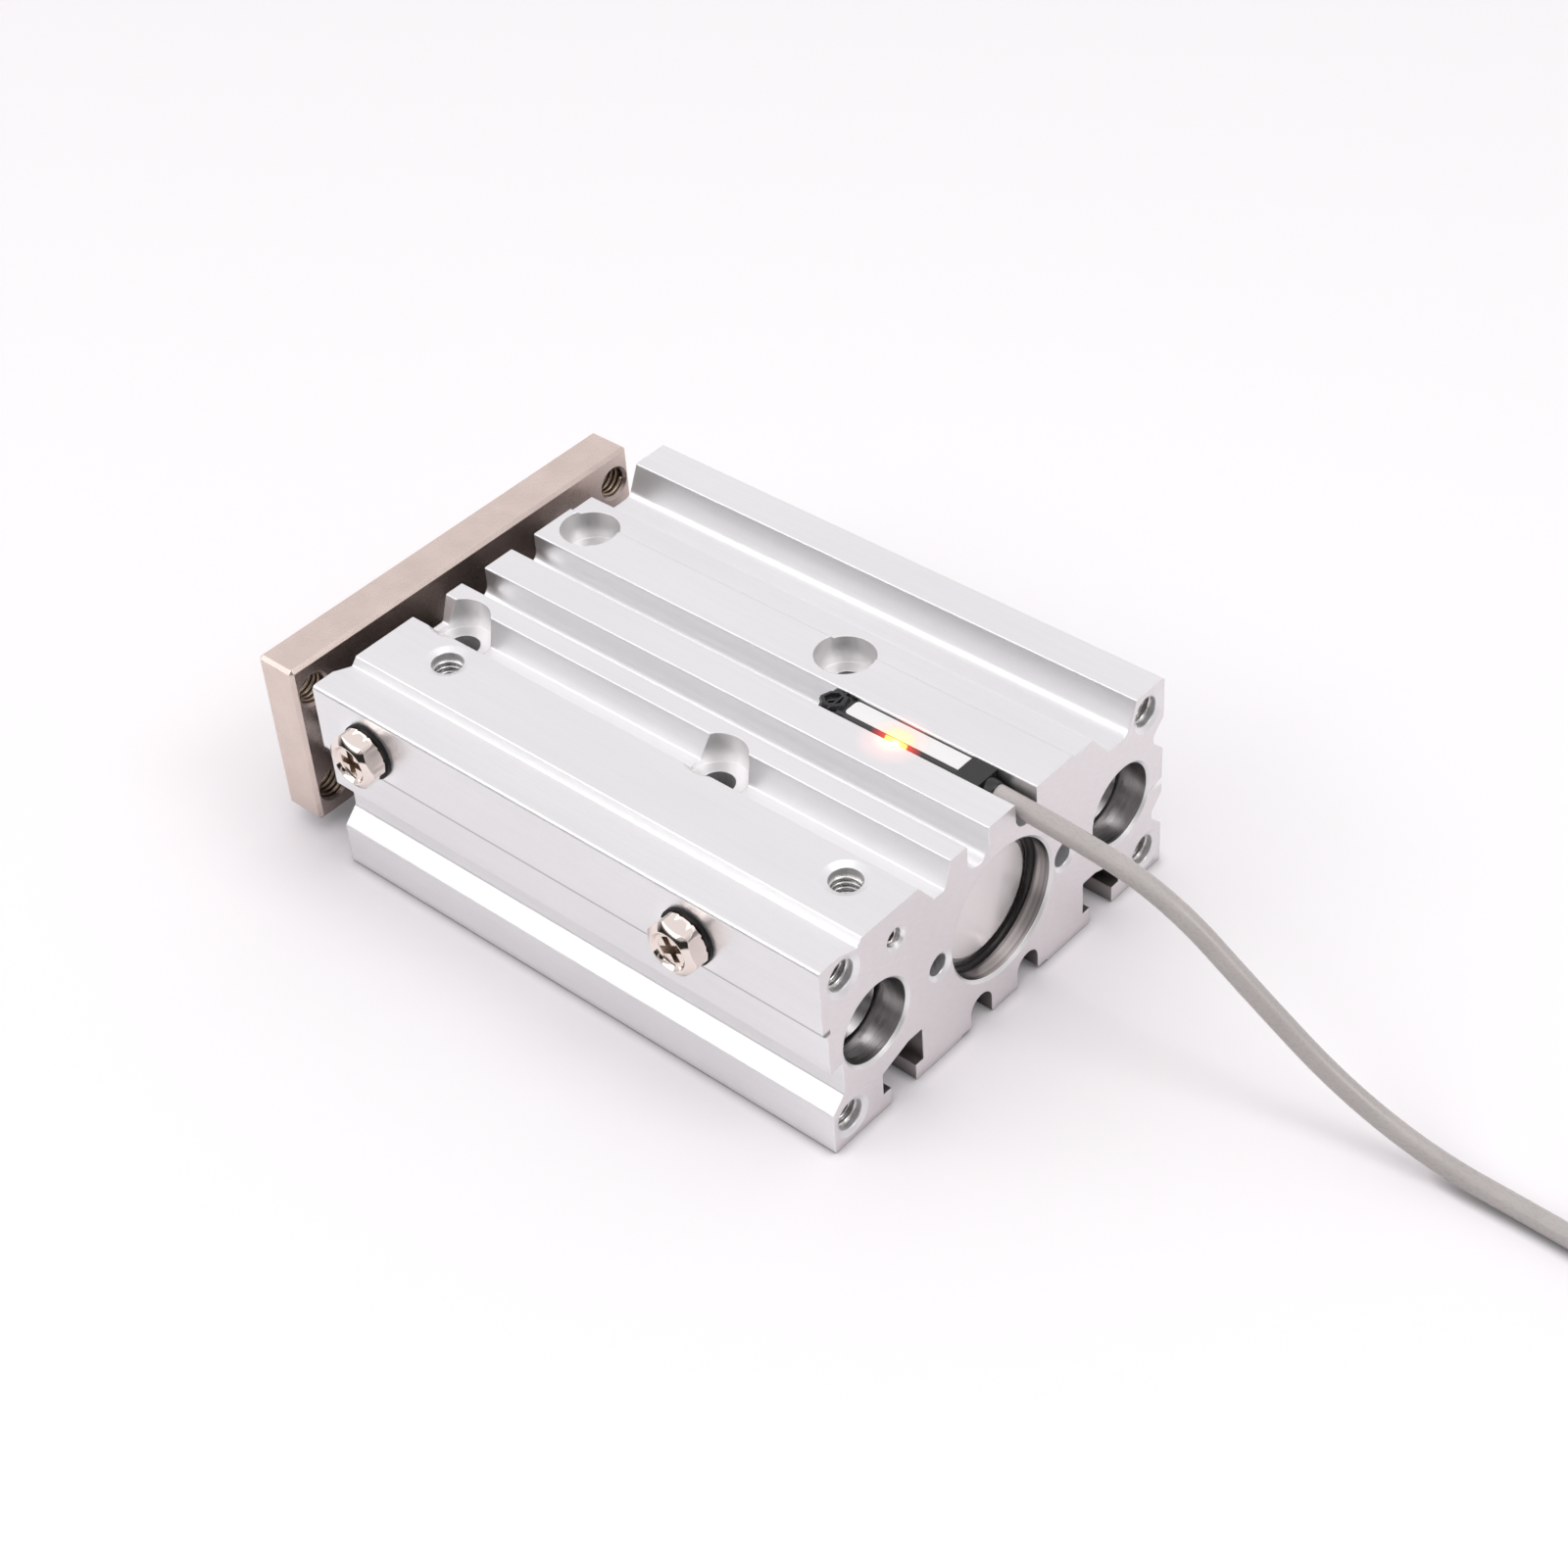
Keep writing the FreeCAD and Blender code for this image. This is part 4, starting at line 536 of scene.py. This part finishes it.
def make_plug(name, hexagon_turn, cross_turn, metal, shade_metal):
    """Hexagon head under a cone-shaped chamfer, with a raised rim, a hollow and a cross; the cross gets
    the second, darker metal as painted shade.
    """
    low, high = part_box(name)
    seat_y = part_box(name.replace("port_plug", "plug_gasket"))[1].y
    centre = Vector(((low.x + high.x) / 2 / MM, seat_y / MM, (low.z + high.z) / 2 / MM))
    height = (high.y - seat_y) / MM
    turn = math.radians(cross_turn)

    def hexagon(angle):
        offset = (angle - math.radians(hexagon_turn)) % (math.pi / 3) - math.pi / 6
        return min(PLUG_FLAT / math.cos(offset), PLUG_CORNER)

    def side_top(radius):
        return min(height - 0.08, height - (radius - CHAMFER_RADIUS) * CHAMFER_SLOPE)

    rings = [plug_ring(centre, lambda angle: min(hexagon(angle), 3.55), lambda r: 0.0),
             plug_ring(centre, hexagon, lambda r: max(r - PLUG_FLAT, 0.05) * 1.3),
             plug_ring(centre, hexagon, lambda r: side_top(r) - 0.05),
             plug_ring(centre, lambda angle: hexagon(angle) - 0.06, side_top)]
    for radius, level in ((2.92, height - 0.07), (2.82, height), (2.66, height - 0.01),
                          (2.52, height - 0.16), (2.30, height - 0.52), (2.12, height - PLUG_HOLLOW)):
        rings.append(plug_ring(centre, lambda angle, r=radius: r, lambda r, z=level: z))
    points = [point for ring in rings for point in ring]
    faces = [tuple(range(PLUG_STEPS))]
    for i in range(len(rings) - 1):
        a = i * PLUG_STEPS
        b = a + PLUG_STEPS
        for j in range(PLUG_STEPS):
            k = (j + 1) % PLUG_STEPS
            faces.append((a + j, b + j, b + k, a + k))
    cross_start = len(points)
    half = CROSS_HALF_WIDTH
    floor = height - PLUG_HOLLOW
    for span, depth in CROSS_REACH:
        outline = [(span, half), (half, half), (half, span), (-half, span), (-half, half),
                   (-span, half), (-span, -half), (-half, -half), (-half, -span),
                   (half, -span), (half, -half), (span, -half)]
        for a, b in outline:
            x = a * math.cos(turn) - b * math.sin(turn)
            z = a * math.sin(turn) + b * math.cos(turn)
            points.append((centre + Vector((x, floor - depth, z))) * MM)
    dark_faces = []
    cross_floor = cross_start + CROSS_CORNERS
    for j in range(CROSS_CORNERS):
        k = (j + 1) % CROSS_CORNERS
        dark_faces.append((cross_start + j, cross_floor + j, cross_floor + k, cross_start + k))
    dark_faces.append(tuple(range(cross_floor, cross_floor + CROSS_CORNERS)))
    last = len(rings) * PLUG_STEPS - PLUG_STEPS
    rim = list(range(last, last + PLUG_STEPS))
    cross = list(range(cross_start, cross_floor))
    loops = [[Vector(points[i]) for i in rim], [Vector(points[i]) for i in cross]]
    order = rim + cross
    faces += [tuple(order[i] for i in triangle) for triangle in tessellate_polygon(loops)]
    metal_faces = len(faces)
    plug = add_mesh(name + "_head", points, faces + dark_faces)
    attach(plug, "cylinder", metal)
    plug.data.materials.append(shade_metal)
    mesh = bmesh.new()
    mesh.from_mesh(plug.data)
    for face in mesh.faces:
        face.smooth = face.index < metal_faces
        face.material_index = 0 if face.index < metal_faces else 1
    for edge in mesh.edges:
        edge.smooth = edge.calc_face_angle(math.pi) < SMOOTH_BELOW
    bmesh.ops.recalc_face_normals(mesh, faces=mesh.faces)
    mesh.to_mesh(plug.data)
    mesh.free()
    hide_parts(name)


# ---- Threads ---------------------------------------------------------------------------
PITCH = 0.8               # of an M5 thread, in millimetres
RIDGE = [(-0.42, 0.01), (-0.10, -0.30), (0.10, -0.30), (0.42, 0.01)]    # in pitches, in mm
RIDGE_STEPS = 40          # rings in one turn
RUN_OUT = 0.45            # the ridge ends this far above the thread's depth


def thread(name, mouth, inward, radius, start, depth, body, material):
    """Helical ridge on the wall of a tapped hole, from below its countersink inwards."""
    inward = Vector(inward)
    side = inward.orthogonal().normalized()
    other = inward.cross(side)
    count = int((depth - start - RUN_OUT) / PITCH * RIDGE_STEPS)
    rings = []
    for i in range(count + 1):
        angle = 2 * math.pi * i / RIDGE_STEPS
        along = start + PITCH * i / RIDGE_STEPS
        fade = min(1.0, i / (RIDGE_STEPS / 2), (count - i) / (RIDGE_STEPS / 2) + 0.02)
        out = side * math.cos(angle) + other * math.sin(angle)
        rings.append([mouth + (out * (radius + min(r, r * fade)) + inward * (along + PITCH * z)) * MM
                      for z, r in RIDGE])
    ridge = loft(name, rings)
    return attach(ridge, body, material)


def rectangle(mount):
    """Hole centres of a rectangular bolt pattern, in metres."""
    axis = Vector(mount["axis"])
    centre = Vector(mount["pos_m"])
    others = [Vector(v) for v in ((1, 0, 0), (0, 1, 0), (0, 0, 1)) if abs(axis.dot(Vector(v))) < 0.5]
    half_x = others[0] * mount["dims"]["spacing_x_mm"] / 2 * MM
    half_y = others[1] * mount["dims"]["spacing_y_mm"] / 2 * MM
    return [centre + half_x * a + half_y * b for a in (-1, 1) for b in (-1, 1)]


def make_threads(bare_metal, plate_metal):
    taps = [("rear_taps", "cylinder", "anodised", bare_metal, 1.05, 11.0),
            ("plate_taps", "carriage", "plated_steel", plate_metal, 0.75, 6.1)]
    for name, body, slot, material, start, depth in taps:
        mount = mounts[name]
        inward = -Vector(mount["axis"])
        for i, mouth in enumerate(rectangle(mount)):
            thread(f"{name}_thread_{i + 1}", mouth, inward, mount["dims"]["hole_r_mm"], start,
                   depth, body, material)
    for name in ("port_front", "port_rear"):
        mount = mounts[name]
        mouth = Vector(mount["pos_m"])
        mouth.z = cad_high.z
        thread(name + "_thread", mouth, (0, 0, -1), mount["dims"]["r_mm"], 1.2, 6.2, "cylinder",
               bare_metal)


# ---- Sensor details --------------------------------------------------------------------
SENSOR_TOP_DROP = 0.15    # the sensor's top under its box, in millimetres
BOOT = ((0.15, 1.62), (-0.5, 1.60), (-1.3, 1.50), (-1.6, 1.42), (-1.6, 1.34))
BOOT_STEPS = 28
COLLAR_SIDES = 7


def slab(name, outline, bottom, top):
    """Flat plate from an outline of (x, y) in metres."""
    low = [Vector((x, y, bottom)) for x, y in outline]
    high = [Vector((x, y, top)) for x, y in outline]
    return loft(name, [low, high], smooth=False)


def make_label(material):
    """Bare white label between the tail block and the barbs, with rounded front corners."""
    low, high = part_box("sensor_body")
    front = low.x + 21.4 * MM
    rear = low.x + 3.75 * MM
    near = high.y - 1.12 * MM
    far = low.y + 0.15 * MM
    radius = 0.55 * MM
    outline = [(rear, near), (front - radius, near)]
    for corner_y, start in ((near - radius, 90), (far + radius, 0)):
        for i in range(7):
            angle = math.radians(start - 15 * i)
            outline.append((front - radius + radius * math.cos(angle),
                            corner_y + radius * math.sin(angle)))
    outline += [(rear, far)]
    top = high.z - SENSOR_TOP_DROP * MM
    label = slab("sensor_label", outline[::-1], top - 0.02 * MM, top + 0.06 * MM)
    return attach(label, "cylinder", material)


def make_sensor_trim(material):
    """Barbs beside the label's front end, a fin by the screw, and a collar round the screw."""
    low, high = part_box("sensor_body")
    middle = (low.y + high.y) / 2
    half = (high.y - low.y) / 2
    top = high.z - SENSOR_TOP_DROP * MM
    x = low.x + 22.0 * MM
    for name, side in (("left", 1), ("right", -1)):
        edge = middle + side * (half - 0.15 * MM)
        tip = middle + side * (half + 0.28 * MM)
        outline = [(x - 0.35 * MM, edge), (x, tip), (x + 0.3 * MM, tip), (x + 0.35 * MM, edge)]
        barb = slab("sensor_barb_" + name, outline[::side], top - 0.1 * MM, high.z + 0.2 * MM)
        attach(barb, "cylinder", material)
    fin_x = low.x + 23.0 * MM
    outline = [(fin_x, middle - half), (fin_x + 0.3 * MM, middle - half),
               (fin_x + 0.3 * MM, middle + half - 0.1 * MM), (fin_x, middle + half - 0.1 * MM)]
    fin = slab("sensor_fin", outline, top - 0.1 * MM, high.z + 0.32 * MM)
    attach(fin, "cylinder", material)
    screw_low, screw_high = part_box("sensor_screw")
    centre = (screw_low + screw_high) / 2
    rings = []
    for radius, z in ((1.95, top - 0.1 * MM), (1.7, cad_high.z - 0.05 * MM), (1.2, cad_high.z),
                      (1.05, top - 0.1 * MM)):
        ring = []
        for i in range(COLLAR_SIDES):
            angle = 2 * math.pi * (i + 0.3) / COLLAR_SIDES
            reach = radius * (1.0 + 0.12 * math.sin(5 * i)) * MM
            ring.append(Vector((centre.x + reach * math.cos(angle),
                                middle + reach * math.sin(angle), z)))
        rings.append(ring)
    collar = loft("sensor_collar", rings, closed=True, smooth=False)
    attach(collar, "cylinder", material)


def make_boot(material):
    """Short tapered boot where the lead leaves the sensor."""
    centre = lead_points()[0] * MM
    rings = []
    for along, radius in BOOT:
        ring = []
        for i in range(BOOT_STEPS):
            angle = 2 * math.pi * i / BOOT_STEPS
            ring.append(centre + Vector((along, radius * math.cos(angle),
                                         radius * math.sin(angle))) * MM)
        rings.append(ring)
    boot = loft("sensor_boot", rings)
    attach(boot, "cylinder", material)


# ---- Floor, world and lamps ------------------------------------------------------------
def make_floor():
    """White paper with painted shadow round the part: a broad lavender shade and a dark contact shadow.
    Reflections see it end on the +Y side and dark beyond, the camera doesn't.
    """
    size = 3.0
    corners = [(-size, -size, 0), (size, -size, 0), (size, size, 0), (-size, size, 0)]
    floor = add_mesh("floor", corners, [(0, 1, 2, 3)])
    floor.location.z = -0.05 * MM
    paper = (0.865, 0.852, 0.864)
    shader = Shader("floor_paper", paper, roughness=0.85)
    tree = shader.tree
    # painted shadow: a broad lavender shade round the part, and a dark contact shadow where it meets the
    # paper
    broad_unshaded = shader.span(shader.crease(22.0), 0.0, 1.0, 0.3, 1.0)
    broad_shadowed_paper = shader.mix(broad_unshaded, (0.825, 0.79, 0.82), paper)
    contact_unshaded = shader.span(shader.crease(1.6), 0.35, 1.0, 0.3, 0.95)
    shader.color(shader.mix(contact_unshaded, BLACK, broad_shadowed_paper))
    light_path = shader.node("ShaderNodeLightPath")
    split = shader.node("ShaderNodeSeparateXYZ")
    shader.link(shader.coords, split.inputs["Vector"])
    table = shader.span(split.outputs["Y"], 1.0, 0.0, 0.25, 0.6)
    mirrored = light_path.outputs["Is Glossy Ray"]
    glow = shader.node("ShaderNodeEmission")
    glow.inputs["Color"].default_value = (0.99, 0.975, 0.995, 1)
    shader.link(shader.math("MULTIPLY", light_path.outputs["Is Camera Ray"], 0.07),
                glow.inputs["Strength"])
    add = shader.node("ShaderNodeAddShader")
    shader.link(shader.bsdf.outputs["BSDF"], add.inputs[0])
    shader.link(glow.outputs["Emission"], add.inputs[1])
    dark = shader.node("ShaderNodeBsdfDiffuse")
    dark.inputs["Color"].default_value = (0.03, 0.03, 0.03, 1)
    ending = shader.node("ShaderNodeMixShader")
    beyond = shader.math("MULTIPLY", mirrored, shader.math("SUBTRACT", 1.0, table))
    shader.link(beyond, ending.inputs["Fac"])
    shader.link(add.outputs["Shader"], ending.inputs[1])
    shader.link(dark.outputs["BSDF"], ending.inputs[2])
    shader.link(ending.outputs["Shader"], tree.nodes["Material Output"].inputs["Surface"])
    floor.data.materials.append(shader.material)


def make_world():
    """White backdrop for camera rays only.  The metal mirrors another room: grey walls that
    are brightest behind and above the part, a dark band low down and one dark patch."""
    world = bpy.data.worlds.new("studio")
    scene.world = world
    world.use_nodes = True
    tree = world.node_tree

    def node(kind, **values):
        made = tree.nodes.new(kind)
        for key, value in values.items():
            setattr(made, key, value)
        return made

    def span(source, start, end, low, high):
        made = node("ShaderNodeMapRange", interpolation_type="SMOOTHSTEP")
        for socket, value in zip(("From Min", "From Max", "To Min", "To Max"), (start, end, low, high)):
            made.inputs[socket].default_value = value
        tree.links.new(source, made.inputs["Value"])
        return made.outputs["Result"]

    direction = node("ShaderNodeTexCoord").outputs["Generated"]
    toward_key = node("ShaderNodeVectorMath", operation="DOT_PRODUCT")
    tree.links.new(direction, toward_key.inputs[0])
    toward_key.inputs[1].default_value = (0.524, -0.543, 0.656)
    key = span(toward_key.outputs["Value"], 0.05, 0.85, 0.0, 1.0)
    split = node("ShaderNodeSeparateXYZ")
    tree.links.new(direction, split.inputs["Vector"])
    above = span(split.outputs["Z"], 0.27, 0.42, 0.05, 1.0)
    aside = span(split.outputs["Y"], 0.25, 0.7, 1.0, 0.0)
    band = node("ShaderNodeMath", operation="MAXIMUM")
    tree.links.new(above, band.inputs[0])
    tree.links.new(aside, band.inputs[1])
    toward_dark = node("ShaderNodeVectorMath", operation="DOT_PRODUCT")
    tree.links.new(direction, toward_dark.inputs[0])
    toward_dark.inputs[1].default_value = (-0.56, 0.52, 0.65)
    patch = node("ShaderNodeMath", operation="MULTIPLY")
    tree.links.new(span(toward_dark.outputs["Value"], 0.955, 0.98, 1.0, 0.04), patch.inputs[0])
    tree.links.new(band.outputs["Value"], patch.inputs[1])
    walls = node("ShaderNodeMix", data_type="RGBA")
    walls.inputs["A"].default_value = (0.57, 0.555, 0.555, 1)
    walls.inputs["B"].default_value = (0.89, 0.87, 0.885, 1)
    tree.links.new(key, walls.inputs["Factor"])
    room = tree.nodes["Background"]
    tree.links.new(walls.outputs["Result"], room.inputs["Color"])
    tree.links.new(patch.outputs["Value"], room.inputs["Strength"])
    backdrop = node("ShaderNodeBackground")
    backdrop.inputs["Color"].default_value = (0.985, 0.975, 0.99, 1)
    light_path = node("ShaderNodeLightPath")
    mix = node("ShaderNodeMixShader")
    tree.links.new(light_path.outputs["Is Camera Ray"], mix.inputs["Fac"])
    tree.links.new(room.outputs["Background"], mix.inputs[1])
    tree.links.new(backdrop.outputs["Background"], mix.inputs[2])
    tree.links.new(mix.outputs["Shader"], tree.nodes["World Output"].inputs["Surface"])


def softbox(name, azimuth, elevation, distance, width, height, radiance):
    """Area lamp aimed at the part, whose brightness is given as radiance."""
    azimuth = math.radians(azimuth)
    elevation = math.radians(elevation)
    toward = Vector((math.cos(azimuth) * math.cos(elevation),
                     math.sin(azimuth) * math.cos(elevation), math.sin(elevation)))
    data = bpy.data.lights.new(name, "AREA")
    data.shape = "RECTANGLE"
    data.size = width
    data.size_y = height
    data.energy = radiance * math.pi * width * height
    lamp = bpy.data.objects.new(name, data)
    lamp.location = toward * distance
    lamp.rotation_mode = "QUATERNION"
    lamp.rotation_quaternion = toward.to_track_quat("Z", "Y")
    scene.collection.objects.link(lamp)


def make_lamps():
    """Azimuth is counted from +X towards +Y, so the camera stands at about 134 degrees."""
    softbox("overhead", 150, 72, 1.1, 1.0, 0.8, 1.1)
    softbox("side", 60, 39, 1.0, 1.0, 0.46, 1.75)
    softbox("rear", 192, 50, 1.1, 0.35, 0.35, 4.0)


# ---- The CAD pieces' surfaces ------------------------------------------------------------
GUIDE_Y = 23.6
SWITCH_SLOT_Y = 4.55
RECESS, GUIDE_BORE, DRILLED, SLOT_WALL = 1, 2, 3, 4    # the housing's material slots


def dress_housing(outside):
    """Give the housing's turned recess, guide bores, drilled holes and slot walls their own surfaces; the
    recess, the guide bores and the slot walls are darker copies of the metal, as painted shade.
    """
    data = nodes["housing"].data
    data.materials.clear()
    data.materials.append(outside)
    # painted shade: the recess wall is a dark copy of the metal, darker still deep inside
    data.materials.append(turned_metal("bored_recess", (0.52, 0.495, 0.49), 0.2, 0.35, 6.0))
    # painted shade: the guide bores are a darker copy of the metal
    data.materials.append(turned_metal("guide_bore", (0.54, 0.52, 0.52), 0.3, 0.05))
    data.materials.append(plain_metal("drilled", (0.88, 0.87, 0.875), 0.44, grain_mm=0.3,
                                      depth_mm=0.0015, edge_mm=0.2))
    # painted shade: slot walls are a darker copy of the housing metal, darker still deep in the slot
    data.materials.append(plain_metal("slot_wall", (0.62, 0.575, 0.57), 0.36, shade_reach_mm=5.0))
    axis_z = cad_low.z + mounts["rear_taps"]["pos_m"][2]
    along_x = [(0.0, axis_z, 10.2 * MM, RECESS)]
    for y in (-GUIDE_Y * MM, GUIDE_Y * MM):
        along_x.append((y, axis_z, 6.4 * MM, GUIDE_BORE))
    for mouth in rectangle(mounts["rear_taps"]):
        along_x.append((mouth.y, mouth.z, 3.0 * MM, DRILLED))
    along_z = []
    for mouth in rectangle(mounts["body_holes"]):
        along_z.append((mouth.x, mouth.y, 4.2 * MM, DRILLED))
    for name in ("port_front", "port_rear"):
        mouth = mounts[name]["pos_m"]
        along_z.append((mouth[0], mouth[1], 3.2 * MM, DRILLED))
    slots = [(SWITCH_SLOT_Y * MM, 2.1 * MM, 4.6 * MM)]
    slots.append((mounts["t_slot_left"]["pos_m"][1], 3.9 * MM, 7.9 * MM))
    for polygon in data.polygons:
        centre = polygon.center
        normal = polygon.normal
        for y, half, top in slots:
            inside = abs(abs(centre.y) - y) < half and 0.1 * MM < centre.z < top
            if inside and abs(normal.x) < 0.5:
                polygon.material_index = SLOT_WALL
        for y, z, reach, index in along_x:
            inward = (centre.y - y) * normal.y + (centre.z - z) * normal.z < 0
            near = math.hypot(centre.y - y, centre.z - z) < reach
            if near and inward and abs(normal.x) < 0.5:
                polygon.material_index = index
        for x, y, reach, index in along_z:
            inward = (centre.x - x) * normal.x + (centre.y - y) * normal.y < 0
            near = math.hypot(centre.x - x, centre.y - y) < reach
            sunk = normal.z > 0.9 and centre.z < cad_high.z - 1.0 * MM
            if near and (inward and abs(normal.z) < 0.5 or sunk):
                polygon.material_index = index


def paint(names, material):
    for name in names:
        data = nodes[name].data
        data.materials.clear()
        data.materials.append(material)


make_camera()
make_lead()
housing_metal = anodised()
# painted shade: the plate darkens in its hollows and in the gap by the housing
steel_plate = plain_metal("plate_nickel", (0.75, 0.63, 0.58), 0.30, grain_mm=0.16, depth_mm=0.006,
                          shade_reach_mm=9.0)
bare_metal = plain_metal("bare_aluminium", (0.74, 0.73, 0.72), 0.28)
brown_metal = plain_metal("thread_bronze", (0.52, 0.42, 0.32), 0.30)
dress_housing(housing_metal)
paint(["end_plate"], steel_plate)
paint(["head_cover", "rod_cover", "piston"],
      turned_metal("turned_aluminium", (0.98, 0.94, 0.935), 0.46, 0.03))
paint(["head_cover_ring", "rod_cover_circlip"],
      plain_metal("spring_steel", (0.045, 0.042, 0.042), 0.3))
nickel = plain_metal("nickel", (0.88, 0.78, 0.73), 0.07, grain_mm=0.6, depth_mm=0.002)
# painted shade: a dark copy of the nickel for the plugs' cross recesses
cross_shade_nickel = plain_metal("cross_shade_nickel", (0.42, 0.33, 0.26), 0.3)
make_plug("port_plug_front", 8, 88, nickel, cross_shade_nickel)
make_plug("port_plug_rear", 11, 60, nickel, cross_shade_nickel)
paint(["guide_rod_left", "guide_rod_right"],
      turned_metal("hard_chrome", (0.62, 0.62, 0.63), 0.16, 0.02, depth_mm=0.0005))
paint(["piston_rod"],
      turned_metal("stainless", (0.60, 0.59, 0.58), 0.20, 0.02, depth_mm=0.0005))
paint(["front_bush_left", "front_bush_right", "inner_bush_left", "inner_bush_right"],
      turned_metal("bronze", (0.50, 0.34, 0.18), 0.38))
paint(["gallery_plug"], plain_metal("zinc_plated", (0.80, 0.77, 0.75), 0.18))
paint(["rod_bolt", "guide_bolts", "sensor_screw"],
      plain_metal("black_oxide", (0.10, 0.10, 0.105), 0.36))
paint(["head_cover_seal", "rod_cover_seal", "rod_seal", "piston_seal", "plug_gasket_front",
       "plug_gasket_rear"], moulded("seal_rubber", (0.013, 0.0125, 0.013), 0.5, gloss=0.2))
paint(["rear_bumper", "front_bumper"], moulded("urethane", (0.20, 0.12, 0.06), 0.45))
paint(["piston_wear_ring", "piston_magnet"], moulded("bearing_resin", (0.07, 0.07, 0.07), 0.5))
plastic = sensor_plastic()
paint(["sensor_body"], plastic)
paint(["sensor_lens"], lens_glow())
paint(["sensor_lead_cores"], core_insulation())
make_threads(bare_metal, brown_metal)
make_label(label_vinyl())
make_sensor_trim(plastic)
make_boot(plastic)
make_floor()
make_world()
make_lamps()

scene.view_settings.view_transform = "Standard"
